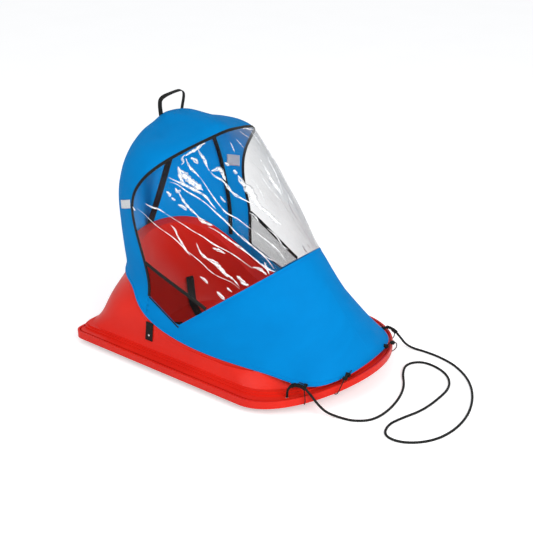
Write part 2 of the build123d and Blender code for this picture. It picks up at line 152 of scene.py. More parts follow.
# %% Helpers for lines
def smooth_through(knots, rows):
    """A natural cubic spline through rows of numbers, as a function of where along the knots."""
    knots = np.asarray(knots, float)
    rows = np.asarray(rows, float)
    last = len(knots) - 1
    gaps = np.diff(knots)
    slopes = np.diff(rows, axis=0) / gaps[:, None]
    system = np.eye(last + 1)
    right = np.zeros_like(rows)
    for i in range(1, last):
        system[i, i - 1:i + 2] = gaps[i - 1], 2 * (gaps[i - 1] + gaps[i]), gaps[i]
        right[i] = 6 * (slopes[i] - slopes[i - 1])
    bends = np.linalg.solve(system, right)

    def at(where):
        where = np.atleast_1d(np.asarray(where, float))
        i = np.clip(np.searchsorted(knots, where) - 1, 0, last - 1)
        low = ((knots[i + 1] - where) / gaps[i])[:, None]
        high = 1 - low
        wave = ((low ** 3 - low) * bends[i] + (high ** 3 - high) * bends[i + 1]) * gaps[i][:, None] ** 2 / 6
        return low * rows[i] + high * rows[i + 1] + wave

    return at


def distances(line):
    """How far along a line each of its points is."""
    return np.r_[0, np.cumsum(np.linalg.norm(np.diff(line, axis=0), axis=1))]


def spaced(line, step):
    """The same line with its points about one step apart."""
    along = distances(line)
    where = np.linspace(0, along[-1], max(2, round(along[-1] / step) + 1))
    return np.stack([np.interp(where, along, line[:, axis]) for axis in range(line.shape[1])], axis=1)


def length_of(line):
    """The length of a line of points."""
    return float(np.linalg.norm(np.diff(line, axis=0), axis=1).sum())


def unit(vectors):
    """The same directions, each one unit long."""
    return vectors / np.maximum(np.linalg.norm(vectors, axis=-1, keepdims=True), 1e-9)


print("a spline through three rows gives", smooth_through([0, 1, 2], [[0], [1], [0]])(0.5).round(3))

# %% [markdown]
# ## Shared effects
#
# Cloth, tape and webbing are all threads going over and under one another, only at other
# counts, so one node group draws threads for all of them, with a painted highlight on each
# raised crown.  A second group gives slow, cloudy changes of tone, which keep any wide surface
# from looking like paint on glass.  Groups put out masks and heights only; each material keeps
# its own Principled shader.

# %% Node helpers
def new_group(name, inputs, outputs):
    """An empty shader group with float or vector inputs, and float outputs."""
    group = bpy.data.node_groups.new(name, "ShaderNodeTree")
    for socket, kind, value in inputs:
        made = group.interface.new_socket(socket, in_out="INPUT", socket_type=kind)
        if value is not None:
            made.default_value = value
    for socket in outputs:
        group.interface.new_socket(socket, in_out="OUTPUT", socket_type="NodeSocketFloat")
    return group, group.nodes.new("NodeGroupInput"), group.nodes.new("NodeGroupOutput")


def feed(tree, socket, value):
    """Links an output to a socket, or sets the socket to a plain value."""
    if isinstance(value, bpy.types.NodeSocket):
        tree.links.new(value, socket)
    else:
        socket.default_value = value


def fill(tree, node, **values):
    """Feeds a node's sockets by name; names with spaces are given with underscores."""
    for name, value in values.items():
        feed(tree, node.inputs[name.replace("_", " ")], value)
    return node


def compute(tree, operation, *values):
    """One math node; its values are numbers or outputs of other nodes."""
    node = tree.nodes.new("ShaderNodeMath")
    node.operation = operation
    for socket, value in zip(node.inputs, values):
        feed(tree, socket, value)
    return node.outputs[0]


def stretched(tree, vector, scale):
    """A vector with its three parts scaled."""
    node = tree.nodes.new("ShaderNodeVectorMath")
    node.operation = "MULTIPLY"
    feed(tree, node.inputs[0], vector)
    node.inputs[1].default_value = scale
    return node.outputs[0]


def cloud(tree, vector, scale, detail=2.0, rough=0.5):
    """A noise texture's grey value."""
    node = fill(tree, tree.nodes.new("ShaderNodeTexNoise"), Vector=vector, Scale=scale, Detail=detail,
                Roughness=rough)
    return node.outputs["Fac"]


def ramp(tree, value, low, high, to_low=0.0, to_high=1.0):
    """Stretches a range of values to another one, and holds it there."""
    node = tree.nodes.new("ShaderNodeMapRange")
    for socket, number in zip(node.inputs, (value, low, high, to_low, to_high)):
        feed(tree, socket, number)
    return node.outputs[0]


# %% The group that draws threads
def thread_group():
    """Threads going over and under: height, and a tone of each thread, painted lighter on its raised crowns
    as a highlight.
    """
    group, enter, leave = new_group(
        "woven_threads",
        [("Vector", "NodeSocketVector", None), ("Threads Along", "NodeSocketFloat", 900.0),
         ("Threads Across", "NodeSocketFloat", 900.0)],
        ["Height", "Tone"])
    parts = group.nodes.new("ShaderNodeSeparateXYZ")
    group.links.new(enter.outputs["Vector"], parts.inputs[0])
    along = compute(group, "MULTIPLY", parts.outputs[0], enter.outputs["Threads Along"])
    across = compute(group, "MULTIPLY", parts.outputs[1], enter.outputs["Threads Across"])
    waves = [compute(group, "SINE", compute(group, "MULTIPLY", count, pi)) for count in (along, across)]
    height = compute(group, "MULTIPLY_ADD", compute(group, "MULTIPLY", *waves), 0.5, 0.5)
    join = fill(group, group.nodes.new("ShaderNodeCombineXYZ"), X=compute(group, "MULTIPLY", along, 0.5),
                Y=compute(group, "MULTIPLY", across, 0.04))
    slub = cloud(group, join.outputs[0], 1.0, 1.0)
    # the raised crowns of the threads are painted lighter: a painted highlight on the weave
    crown_highlight = compute(group, "MULTIPLY", height, 0.3)
    fill(group, leave, Height=height, Tone=compute(group, "MULTIPLY_ADD", slub, 0.7, crown_highlight))
    return group


THREADS = thread_group()


# %% The group of cloudy tones
def tone_group():
    """Slow cloudy changes, from 0 to 1 around a half, and the same finer."""
    group, enter, leave = new_group(
        "cloudy_tone",
        [("Vector", "NodeSocketVector", None), ("Scale", "NodeSocketFloat", 6.0)],
        ["Tone", "Fine"])
    where, scale = enter.outputs["Vector"], enter.outputs["Scale"]
    slow = cloud(group, where, scale, 3.0, 0.55)
    fine = cloud(group, where, compute(group, "MULTIPLY", scale, 14.0), 2.0)
    fill(group, leave, Tone=ramp(group, slow, 0.3, 0.7), Fine=fine)
    return group


TONE = tone_group()
print("groups:", [(group.name, len(group.nodes)) for group in (THREADS, TONE)])


# %% Helpers for materials
def place_group(tree, group, **values):
    """A group's node in a material, with its own values."""
    node = tree.nodes.new("ShaderNodeGroup")
    node.node_tree = group
    return fill(tree, node, **values)


def start_material(name, rough, coordinate="UV"):
    """A material with its shader, and the coordinate that its patterns read."""
    material = bpy.data.materials.new(name)
    material.use_nodes = True
    tree = material.node_tree
    shader = tree.nodes["Principled BSDF"]
    shader.inputs["Roughness"].default_value = rough
    where = tree.nodes.new("ShaderNodeTexCoord").outputs[coordinate]
    return material, tree, shader, where


def blend_colours(tree, mask, low, high):
    """From one colour to another as the mask goes from 0 to 1."""
    node = tree.nodes.new("ShaderNodeMix")
    node.data_type = "RGBA"
    feed(tree, node.inputs["Factor"], mask)
    feed(tree, node.inputs[6], low)
    feed(tree, node.inputs[7], high)
    return node.outputs[2]


def bump(tree, shader, height, depth, strength=1.0):
    """A bump of a real depth, in metres, on the shader's normal."""
    node = fill(tree, tree.nodes.new("ShaderNodeBump"), Strength=strength, Distance=depth, Height=height)
    fill(tree, shader, Normal=node.outputs[0])


# %% [markdown]
# ## Finishes
#
# The hull is coloured all through and leaves a polished mould, so it is smooth with a soft
# shine, and only the scuffs of handling break it.  The cloth is a tight coated weave with a
# dull shine.  Tape, webbing and cord are the same black thread woven at other counts.

# %% The hull's plastic
HULL_RED = (0.72, 0.022, 0.011, 1.0)
HULL_DEEP = (0.63, 0.015, 0.008, 1.0)


def hull_plastic():
    """Smooth moulded plastic with slow changes of tone and long, faint scuffs."""
    material, tree, shader, where = start_material("hull_plastic", 0.3, "Object")
    marks = place_group(tree, TONE, Vector=where, Scale=5.0)
    scuffs = ramp(tree, cloud(tree, stretched(tree, where, (5.0, 14.0, 14.0)), 3.0, 2.0), 0.40, 0.75)
    fill(tree, shader, Base_Color=blend_colours(tree, marks.outputs["Tone"], HULL_DEEP, HULL_RED),
         Roughness=ramp(tree, scuffs, 0.0, 1.0, 0.30, 0.38), Specular_IOR_Level=0.13, Coat_Weight=0.05,
         Coat_Roughness=0.12)
    bump(tree, shader, marks.outputs["Fine"], depth=0.0003, strength=0.15)
    return material


HULL_PLASTIC = hull_plastic()
print("the hull's plastic:", len(HULL_PLASTIC.node_tree.nodes), "nodes")

# %% The cloth, tape, webbing and cord
CLOTH_BLUE = (0.000, 0.222, 0.580, 1.0)
CLOTH_DEEP = (0.000, 0.180, 0.490, 1.0)
# the lining's colours are painted lighter than the cloth's: painted light for daylight coming through the
# cloth
LINING_PAINTED_LIT_BLUE = (0.000, 0.300, 0.740, 1.0)
LINING_PAINTED_LIT_DEEP = (0.000, 0.245, 0.640, 1.0)
DEEPEST_BLACK = (0.002, 0.002, 0.002, 1.0)
BLACK = (0.004, 0.004, 0.004, 1.0)
SOFT_BLACK = (0.012, 0.013, 0.011, 1.0)


def woven(name, light, deep, threads, depth, rough, sheen, shine, painted_glow=0.0):
    """A woven finish: two tones, threads per metre each way, their depth, how it takes the light, and a
    painted glow.
    """
    material, tree, shader, where = start_material(name, rough)
    along, across = threads
    threads = place_group(tree, THREADS, Vector=where, Threads_Along=along, Threads_Across=across)
    patches = place_group(tree, TONE, Vector=where, Scale=7.0)
    # the threads' tone brings their painted crown highlight into the colour
    mix = compute(tree, "MULTIPLY_ADD", patches.outputs["Tone"], 0.55,
                  compute(tree, "MULTIPLY", threads.outputs["Tone"], 0.45))
    colour = blend_colours(tree, mix, deep, light)
    fill(tree, shader, Base_Color=colour, Specular_IOR_Level=shine, Sheen_Weight=sheen, Sheen_Roughness=0.4,
         Roughness=ramp(tree, threads.outputs["Tone"], 0.2, 0.8, rough - 0.06, rough + 0.08))
    # a painted glow: the piece gives off light though it is no lamp
    if painted_glow:
        fill(tree, shader, Emission_Color=colour, Emission_Strength=painted_glow)
    bump(tree, shader, threads.outputs["Height"], depth, strength=0.7)
    return material


CANOPY_CLOTH = woven("canopy_cloth", CLOTH_BLUE, CLOTH_DEEP, threads=(1400.0, 1400.0), depth=0.00018,
                     rough=0.62, sheen=0.0, shine=0.03)
CANOPY_LINING_PAINTED_LIGHT = woven("canopy_lining_painted_light", LINING_PAINTED_LIT_BLUE, LINING_PAINTED_LIT_DEEP, threads=(1400.0, 1400.0), depth=0.00012,
                      rough=0.65, sheen=0.0, shine=0.04, painted_glow=0.03)
BLACK_TAPE = woven("black_tape", SOFT_BLACK, BLACK, threads=(1000.0, 700.0), depth=0.00035,
                   rough=0.62, sheen=0.03, shine=0.2)
BLACK_WEBBING = woven("black_webbing", SOFT_BLACK, BLACK, threads=(620.0, 480.0), depth=0.0006,
                      rough=0.6, sheen=0.03, shine=0.2)
BLACK_CORD = woven("black_cord", SOFT_BLACK, BLACK, threads=(1500.0, 1500.0), depth=0.0002,
                   rough=0.65, sheen=0.04, shine=0.2)
WOVEN = (CANOPY_CLOTH, CANOPY_LINING_PAINTED_LIGHT, BLACK_TAPE, BLACK_WEBBING, BLACK_CORD)
print("woven finishes:", [finish.name for finish in WOVEN])


# %% Moulded black plastic, bright metal and the reflective tape
DULL_METAL = (0.62, 0.61, 0.59, 1.0)
CLEAN_METAL = (0.80, 0.79, 0.77, 1.0)
BEAD_GREY = (0.80, 0.81, 0.82, 1.0)
CELL_GREY = (0.60, 0.63, 0.65, 1.0)


def black_plastic():
    """The buckle's plastic, with a fine moulded grain."""
    material, tree, shader, where = start_material("black_plastic", 0.38, "Object")
    grain = place_group(tree, TONE, Vector=where, Scale=60.0)
    fill(tree, shader, Base_Color=blend_colours(tree, grain.outputs["Tone"], BLACK, SOFT_BLACK))
    bump(tree, shader, grain.outputs["Fine"], depth=0.0003, strength=0.5)
    return material


def bright_metal():
    """The rivets' plated steel, a little cloudy."""
    material, tree, shader, where = start_material("bright_metal", 0.28, "Object")
    grain = place_group(tree, TONE, Vector=where, Scale=90.0)
    fill(tree, shader, Metallic=1.0,
         Base_Color=blend_colours(tree, grain.outputs["Tone"], DULL_METAL, CLEAN_METAL),
         Roughness=ramp(tree, grain.outputs["Fine"], 0.3, 0.7, 0.22, 0.38))
    return material


def reflective_tape():
    """Silver tape made of small cells with raised walls."""
    material, tree, shader, where = start_material("reflective_tape", 0.4)
    cells = tree.nodes.new("ShaderNodeTexVoronoi")
    cells.feature = "DISTANCE_TO_EDGE"
    fill(tree, cells, Scale=260.0, Vector=where)
    walls = ramp(tree, cells.outputs["Distance"], 0.0, 0.12)
    fill(tree, shader, Metallic=0.25, Base_Color=blend_colours(tree, walls, BEAD_GREY, CELL_GREY))
    bump(tree, shader, walls, depth=0.0003, strength=0.6)
    return material


BLACK_PLASTIC = black_plastic()
BRIGHT_METAL = bright_metal()
REFLECTIVE_TAPE = reflective_tape()
print("finishes of small parts:", [finish.name for finish in (BLACK_PLASTIC, BRIGHT_METAL, REFLECTIVE_TAPE)])


# %% The clear window film
FILM_SMOKE = (0.030, 0.034, 0.036, 1.0)
# the pale grey that the film takes at a glancing angle is a painted reflection
FILM_GLANCE_REFLECTION = (0.38, 0.40, 0.41, 1.0)
# the white of the folds is a painted highlight
FOLD_HIGHLIGHT_WHITE = (0.97, 0.98, 0.99, 1.0)
WHITE = (1.0, 1.0, 1.0, 1.0)


def clear_vinyl():
    """Soft clear sheet: thin and smoky face on, painted paler at a glancing angle as a painted reflection,
    and clear from behind.
    """
    material, tree, shader, where = start_material("clear_vinyl", 0.08)
    glance = fill(tree, tree.nodes.new("ShaderNodeLayerWeight"), Blend=0.30)
    slant = ramp(tree, glance.outputs["Facing"], 0.12, 0.60)
    haze = place_group(tree, TONE, Vector=where, Scale=9.0)
    veil = compute(tree, "MULTIPLY_ADD", slant, 0.42, ramp(tree, haze.outputs["Tone"], 0.0, 1.0, 0.06, 0.12))
    behind = tree.nodes.new("ShaderNodeNewGeometry").outputs["Backfacing"]
    path = tree.nodes.new("ShaderNodeLightPath")
    dim = compute(tree, "MAXIMUM", path.outputs["Is Shadow Ray"], path.outputs["Is Diffuse Ray"])
    gone = compute(tree, "MAXIMUM", behind, compute(tree, "MULTIPLY", dim, 0.8))
    front = compute(tree, "SUBTRACT", 1.0, gone)
    # the paler colour at a glancing angle is a painted reflection
    fill(tree, shader, Base_Color=blend_colours(tree, slant, FILM_SMOKE, FILM_GLANCE_REFLECTION),
         Alpha=compute(tree, "MULTIPLY", veil, front))
    bump(tree, shader, haze.outputs["Fine"], depth=0.0004, strength=0.3)
    return material


def painted_fold_highlight():
    """Painted highlight on the film's folds: white with a faint glow, broken up along the fold."""
    material, tree, shader, where = start_material("painted_fold_highlight", 0.22)
    breaks = cloud(tree, stretched(tree, where, (75.0, 620.0, 1.0)), 1.0, 3.0)
    fill(tree, shader, Base_Color=FOLD_HIGHLIGHT_WHITE, Alpha=ramp(tree, breaks, 0.38, 0.60, 0.14, 1.0),
         Emission_Color=WHITE, Emission_Strength=0.15)
    bump(tree, shader, breaks, depth=0.0006, strength=0.5)
    return material


CLEAR_VINYL = clear_vinyl()
PAINTED_FOLD_HIGHLIGHT = painted_fold_highlight()
print("film:", [finish.name for finish in (CLEAR_VINYL, PAINTED_FOLD_HIGHLIGHT)])

# %% The vents' netting and the sewing thread
THREAD_GREY = (0.050, 0.050, 0.048, 1.0)
THREAD_BLUE = (0.000, 0.190, 0.520, 1.0)
THREAD_DEEP = (0.000, 0.120, 0.360, 1.0)


def netting():
    """Black net in the side vents: fine threads with holes between them, so it greys what is behind."""
    material, tree, shader, where = start_material("vent_netting", 0.6)
    threads = place_group(tree, THREADS, Vector=where, Threads_Along=900.0, Threads_Across=900.0)
    # the threads' tone paints their crowns lighter here too, a painted highlight
    fill(tree, shader, Base_Color=blend_colours(tree, threads.outputs["Tone"], DEEPEST_BLACK, BLACK),
         Alpha=ramp(tree, threads.outputs["Height"], 0.47, 0.67), Specular_IOR_Level=0.1)
    bump(tree, shader, threads.outputs["Height"], depth=0.0002, strength=0.5)
    return material


def sewing_thread(name, light, deep):
    """Two-ply thread: a fine cloudy pattern painted light and dark along each stitch, as highlight and shade
    on its plies.
    """
    material, tree, shader, where = start_material(name, 0.55, "Object")
    plies = cloud(tree, stretched(tree, where, (1.0, 1.0, 2.0)), 900.0, 1.0)
    # the plies' light and dark tones are painted highlight and shade
    fill(tree, shader, Base_Color=blend_colours(tree, ramp(tree, plies, 0.35, 0.65), deep, light),
         Specular_IOR_Level=0.2)
    bump(tree, shader, plies, depth=0.0002, strength=0.6)
    return material


NETTING = netting()
BLACK_THREAD = sewing_thread("black_thread", THREAD_GREY, SOFT_BLACK)
BLUE_THREAD = sewing_thread("blue_thread", THREAD_BLUE, THREAD_DEEP)
print("finishes:", sorted(material.name for material in bpy.data.materials))

# %% [markdown]
# ## The pull rope
#
# A braided rope two metres long is knotted under the flange on each side of the bow.  It comes
# up through its hole, goes over the lip and lies on the floor in one loose loop.  Its line is a
# smooth spline of third order through a few points, as a limp rope lies.  The tube that follows
# the spline is a mesh, because a braid needs small raised diamonds that a bevelled curve can't
# have: two sets of strands wind round it in opposite directions and pass over each other.

# %% The rope's line
# points of the way the rope goes, in millimetres; on the floor they lie at half its thickness
FLOOR = 3.8
ROPE_ROUTE = [
    (311, -242, 52), (313, -245, 68), (319, -248, 84), (329, -244, 97), (345, -237, 100),
    (360, -229, 91), (374, -219, 68), (389, -206, 38), (406, -192, 14), (436, -178, FLOOR),
    (478, -170, FLOOR), (516, -136, FLOOR), (527, -76, FLOOR), (519, 2, FLOOR), (496, 70, FLOOR),
    (458, 124, FLOOR), (438, 178, FLOOR), (468, 220, FLOOR), (526, 216, FLOOR), (574, 188, FLOOR),
    (604, 136, FLOOR), (606, 62, FLOOR), (599, -14, FLOOR), (575, -76, FLOOR), (560, -128, FLOOR),
    (578, -180, FLOOR), (634, -180, FLOOR), (690, -128, FLOOR), (714, -52, FLOOR), (711, 40, FLOOR),
    (679, 134, FLOOR), (628, 208, FLOOR), (562, 256, FLOOR), (500, 274, FLOOR), (446, 277, FLOOR),
    (408, 273, FLOOR), (385, 266, 14), (371, 259, 34), (359, 250, 53), (345, 244, 64),
    (327, 243, 63), (312, 242, 55),
]


def spline_points(route, fineness):
    """Points along the smooth spline of a route in millimetres, read back in metres."""
    curve = bpy.data.curves.new("route", "CURVE")
    curve.dimensions = "3D"
    line = curve.splines.new("NURBS")
    line.points.add(len(route) - 1)
    for point, place in zip(line.points, route):
        point.co = (*[value / 1000 for value in place], 1.0)
    line.order_u = 3
    line.use_endpoint_u = True
    line.resolution_u = fineness
    holder = add_object("route", curve)
    read = bpy.data.meshes.new_from_object(holder.evaluated_get(bpy.context.evaluated_depsgraph_get()))
    points = np.array([vertex.co[:] for vertex in read.vertices])
    bpy.data.objects.remove(holder)
    bpy.data.curves.remove(curve)
    bpy.data.meshes.remove(read)
    keep = np.r_[True, np.linalg.norm(np.diff(points, axis=0), axis=1) > 1e-6]
    return points[keep]


rope_line = spline_points(ROPE_ROUTE, fineness=46)
print("rope:", len(rope_line), "points,", round(length_of(rope_line), 3), "m long")


# %% A braided tube along a line
def frames_along(line):
    """At each point of a line, two directions across it that don't twist."""
    ahead = unit(np.gradient(line, axis=0))
    side = unit(np.cross(ahead[0], (0.0, 0.0, 1.0)) + (1e-6, 0.0, 0.0))
    sides = []
    for step in ahead:
        side = side - step * float(side @ step)
        side = side / np.linalg.norm(side)
        sides.append(side)
    sides = np.array(sides)
    return sides, np.cross(ahead, sides)


def braided_tube(name, line, radius, around, plaits, pitch, relief):
    """A closed tube along a line, raised in the diamonds of its braid."""
    along = distances(line)
    side, up = frames_along(line)
    turn = np.linspace(0, 2 * pi, around, endpoint=False)
    first = plaits * turn[None, :] / (2 * pi) + along[:, None] / pitch
    second = plaits * turn[None, :] / (2 * pi) - along[:, None] / pitch
    diamonds = np.abs(np.sin(pi * first) * np.sin(pi * second)) ** 0.6
    grown = radius - relief * (1 - diamonds)
    rings = (line[:, None, :] + side[:, None, :] * (grown * np.cos(turn))[..., None]
             + up[:, None, :] * (grown * np.sin(turn))[..., None])
    points = np.vstack([rings.reshape(-1, 3), line[:1], line[-1:]])
    faces = tube_faces(len(line), around)
    over = 2 * pi * radius * np.arange(around + 1) / around
    uvs = [corner for here, there in zip(along, along[1:]) for low, high in zip(over, over[1:])
           for corner in ((here, low), (here, high), (there, high), (there, low))]
    start, end, last = len(points) - 2, len(points) - 1, (len(line) - 1) * around
    for j in range(around):
        k = (j + 1) % around
        faces += [(start, k, j), (end, last + j, last + k)]
        uvs += [(0.0, 0.0), (0.001, 0.001), (0.0, 0.001), (0.0, 0.0), (0.0, 0.001), (0.001, 0.001)]
    return make_object(name, points, faces, uvs)


def knot_line(middle, across, rise, turns=(2, 3), fineness=90):
    """A closed knot round a point, wound like an overhand knot pulled tight."""
    circles, dips = turns
    turn = np.linspace(0, 2 * pi, fineness + 1)
    ring = across * (1.0 + 0.48 * np.cos(dips * turn))
    return np.stack([middle[0] + ring * np.cos(circles * turn), middle[1] + ring * np.sin(circles * turn),
                     middle[2] + rise * np.sin(dips * turn)], axis=1)


# %% The rope and its stopper knots
def put_in_place(made, slot, *nodes):
    """A finished piece rides on the sled and stands for its CAD nodes; its slot is not used."""
    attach(made, "root")
    if nodes:
        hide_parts(*nodes)
    return made


def dress(made, material, slot, *nodes):
    """Gives a finished piece its material and puts it in its place."""
    give_material(made, material)
    return put_in_place(made, slot, *nodes)


ROPE_RADIUS = 0.0036
rope = braided_tube("pull_rope_braid", rope_line, ROPE_RADIUS, around=24, plaits=6, pitch=0.0058,
                    relief=0.00055)
dress(rope, BLACK_CORD, "black_cord", "pull_rope")
for name in ("left", "right"):
    low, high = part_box(f"rope_knot_{name}")
    middle = [(a + b) / 2 for a, b in zip(low, high)]
    knot = braided_tube(f"stopper_knot_{name}", knot_line(middle, across=0.0043, rise=0.0034), 0.0030,
                        around=16, plaits=5, pitch=0.0058, relief=0.0004)
    dress(knot, BLACK_CORD, "black_cord", f"rope_knot_{name}")


# %% The wraps of thin cord on the rope
THIN_RADIUS = 0.0015
WRAP_PITCH = 0.0034


def thin_cord(name, line, radius, *nodes, around=10):
    """A piece of thin elastic cord along a line."""
    made = braided_tube(name, line, radius, around, plaits=4, pitch=0.0030, relief=0.0002)
    return dress(made, BLACK_CORD, "black_cord", *nodes)


def wrap_round(line, start, end):
    """The line of a thin cord wound round the rope, between two distances along it."""
    where = np.linspace(start, end, round((end - start) / WRAP_PITCH * 14))
    frames = np.hstack([line, *frames_along(line)])
    read = np.stack([np.interp(where, distances(line), column) for column in frames.T], axis=1)
    middle, side, up = np.split(read, 3, axis=1)
    turn = ((where - start) / WRAP_PITCH * 2 * pi)[:, None]
    reach = ROPE_RADIUS + THIN_RADIUS * (0.85 + 0.25 * np.sin(turn * 0.37))
    return middle + reach * (side * np.cos(turn) + up * np.sin(turn))


whole = length_of(rope_line)
for name, start, end in (("right", 0.046, 0.088), ("left", whole - 0.054, whole - 0.036)):
    wrap = wrap_round(rope_line, start, end)
    thin_cord(f"rope_wrap_{name}", wrap, THIN_RADIUS, around=8)

# %% [markdown]
# ## Elastic ties
#
# Four short elastic cords hold the apron down.  Each is knotted on the hem, goes over the lip of
# the hull and hooks in underneath.  A second piece of the same cord is the loop in the hem, with
# the spare end that sticks out of the knot.  Both sides share one route, mirrored by its sign.

# %% The four ties
# points on the left-hand side, in millimetres: the cord over the lip, then the loop in the hem
TIES = {
    "corner_tie": (
        [(347, 214, 86), (357, 228, 80), (364, 233, 62), (363, 232, 44), (353, 222, 35), (341, 211, 34)],
        [(347, 214, 86), (346, 207, 84), (345, 201, 81), (339, 204, 84), (332, 206, 86), (326, 207, 86)]),
    "front_tie": (
        [(416, 114, 95), (421, 133, 92), (421, 147, 80), (417, 153, 62), (405, 147, 47), (392, 139, 43)],
        [(416, 114, 95), (414, 107, 92), (411, 100, 89), (413, 95, 92), (415, 91, 96), (416, 88, 100)]),
}
KNOT_WIDTH = {"corner_tie": 0.0031, "front_tie": 0.0044}
SIDES = ((1, "left"), (-1, "right"))  # the sign of y on each side, and the side's name


def mirrored(route, side):
    """A route given for the left, on the side whose sign is given."""
    return [(x, side * y, z) for x, y, z in route]


def make_tie(kind, name, side):
    """One tie: its cord, its loop and tail in the hem, and the knots between them."""
    route, loop = (mirrored(points, side) for points in TIES[kind])
    line, tail_line = spline_points(route, fineness=16), spline_points(loop, fineness=12)
    cord = thin_cord(f"{kind}_{name}_cord", line, THIN_RADIUS, f"{kind}_{name}", around=12)
    wide = KNOT_WIDTH[kind]
    ring = knot_line(tail_line[len(tail_line) * 2 // 5], wide, 0.7 * wide, fineness=60)
    pieces = [thin_cord(f"{kind}_{name}_knot", ring, 0.55 * wide)]
    if kind == "front_tie":
        ring = knot_line(line[len(line) // 12], 0.0042, 0.0030, turns=(2, 5), fineness=60)
        pieces.append(thin_cord(f"{kind}_{name}_wrap", ring, 0.0020))
    pieces.append(thin_cord(f"{kind}_{name}_tail", tail_line, 0.0014))
    print(cord.name, "is", round(length_of(line) * 1000), "mm long")


for side, name in SIDES:
    for kind in TIES:
        make_tie(kind, name, side)

# %% [markdown]
# ## The canopy's skin
#
# The hood, the window and the apron are sewn into one tight tent, so they are cut here from one
# surface.  The surface runs smoothly through level outlines, each a flat back, a round corner
# and one long curve to the nose.  A panel is that skin cut along lines drawn in the side view,
# as a tailor cuts cloth along a paper pattern, so neighbouring panels always meet.

# %% Level outlines of the tent
# each row, in millimetres: z, front, back, half width, half of the flat back, depth of the corner;
# then the handles of the flank's curve, as shares: three along it and three across it
TENT_LEVELS = [
    (42.0, 424.0, -444.6, 279.6, 235.0, 44.6, 0.390, 0.720, 0.970, 1.000, 1.000, 0.690),
    (60.0, 424.0, -436.6, 270.6, 196.0, 74.6, 0.390, 0.720, 0.970, 1.000, 1.000, 0.690),
    (106.0, 412.5, -424.6, 261.6, 147.0, 114.6, 0.360, 0.690, 0.940, 0.990, 0.860, 0.470),
    (160.0, 367.8, -417.6, 251.6, 84.0, 167.6, 0.310, 0.610, 0.870, 0.950, 0.790, 0.460),
    (235.0, 304.6, -408.0, 237.0, 14.0, 223.0, 0.280, 0.570, 0.840, 0.900, 0.670, 0.360),
    (300.0, 248.6, -411.0, 243.0, 11.0, 231.0, 0.282, 0.582, 0.841, 0.856, 0.612, 0.312),
    (400.0, 160.5, -415.0, 250.0, 10.0, 235.0, 0.288, 0.588, 0.844, 0.850, 0.600, 0.300),
    (500.0, 69.9, -402.0, 254.0, 14.0, 214.0, 0.282, 0.582, 0.841, 0.844, 0.588, 0.288),
    (570.0, 5.1, -381.0, 239.0, 10.0, 192.0, 0.264, 0.564, 0.832, 0.832, 0.564, 0.264),
    (625.0, -46.7, -355.0, 202.0, 10.0, 166.0, 0.276, 0.576, 0.838, 0.838, 0.576, 0.276),
    (657.0, -80.3, -330.0, 121.0, 10.0, 124.0, 0.288, 0.588, 0.844, 0.850, 0.600, 0.300),
    (681.2, -122.3, -305.0, 58.0, 10.0, 58.0, 0.300, 0.600, 0.850, 0.850, 0.600, 0.300),
    (691.0, -208.5, -272.0, 30.0, 6.0, 26.0, 0.300, 0.600, 0.850, 0.850, 0.600, 0.300),
]
ROUND = 0.448  # how far a corner's handles stay from the corner, which makes it nearly round


def level_controls(z, front, back, half, flat, depth, x1, x2, x3, y2, y3, y4):
    """The ten control points of half an outline, from back to front, then its height, in metres."""
    widest = back + depth
    reach = front - widest
    points = [(back, 0), (back, flat), (back, half - ROUND * (half - flat)), (back + ROUND * depth, half),
              (widest, half), (widest + x1 * reach, half), (widest + x2 * reach, y2 * half),
              (widest + x3 * reach, y3 * half), (front, y4 * half), (front, 0)]
    return [value / 1000 for value in (*np.ravel(points), z)]


controls = np.array([level_controls(*row) for row in TENT_LEVELS])
gaps = np.linalg.norm(np.diff(controls, axis=0), axis=1) / 10 ** 0.5
LEVELS = np.r_[0, np.cumsum(gaps)]
skin_controls = smooth_through(LEVELS, controls)
print("the skin is", round(float(LEVELS[-1]), 3), "m from its foot to the roof")


# %% Points of the skin
def skin_grid(levels, columns):
    """Points of the skin: levels run from the foot to the roof, columns from the back (0) to the nose (3).

    Each half outline is three curves: the flat back, the round corner and the long flank.
    """
    rows = skin_controls(levels)
    plan = rows[:, :20].reshape(-1, 10, 2)
    sides = np.sign(columns)
    columns = np.abs(columns)
    out = np.empty((len(levels), len(columns), 3))
    out[..., 2] = rows[:, 20, None]
    for start, (first, last) in enumerate(((0, 1), (1, 4), (4, 9))):
        here = (columns >= start) & (columns <= start + 1)
        share = columns[here] - start
        order = last - first
        weights = [comb(order, i) * share ** i * (1 - share) ** (order - i) for i in range(order + 1)]
        out[:, here, :2] = np.einsum("ik,nid->nkd", np.array(weights), plan[:, first:last + 1])
    out[..., 1] *= sides
    return out


print("nose at the foot:", skin_grid(LEVELS[:1], np.array([3.0]))[0, 0].round(3))


# %% A mesh of the skin between two heights
WIDEST = 7  # the row of TENT_LEVELS where the tent is widest


def even_columns(step):
    """Columns spaced evenly along the tent's widest level, from nose to nose by way of the back."""
    fine = np.linspace(0, 3, 1200)
    along = distances(skin_grid(LEVELS[WIDEST:WIDEST + 1], fine)[0])
    half = np.interp(np.linspace(0, along[-1], round(along[-1] / step) + 1), along, fine)
    return np.r_[-half[:0:-1], half[:-1]]


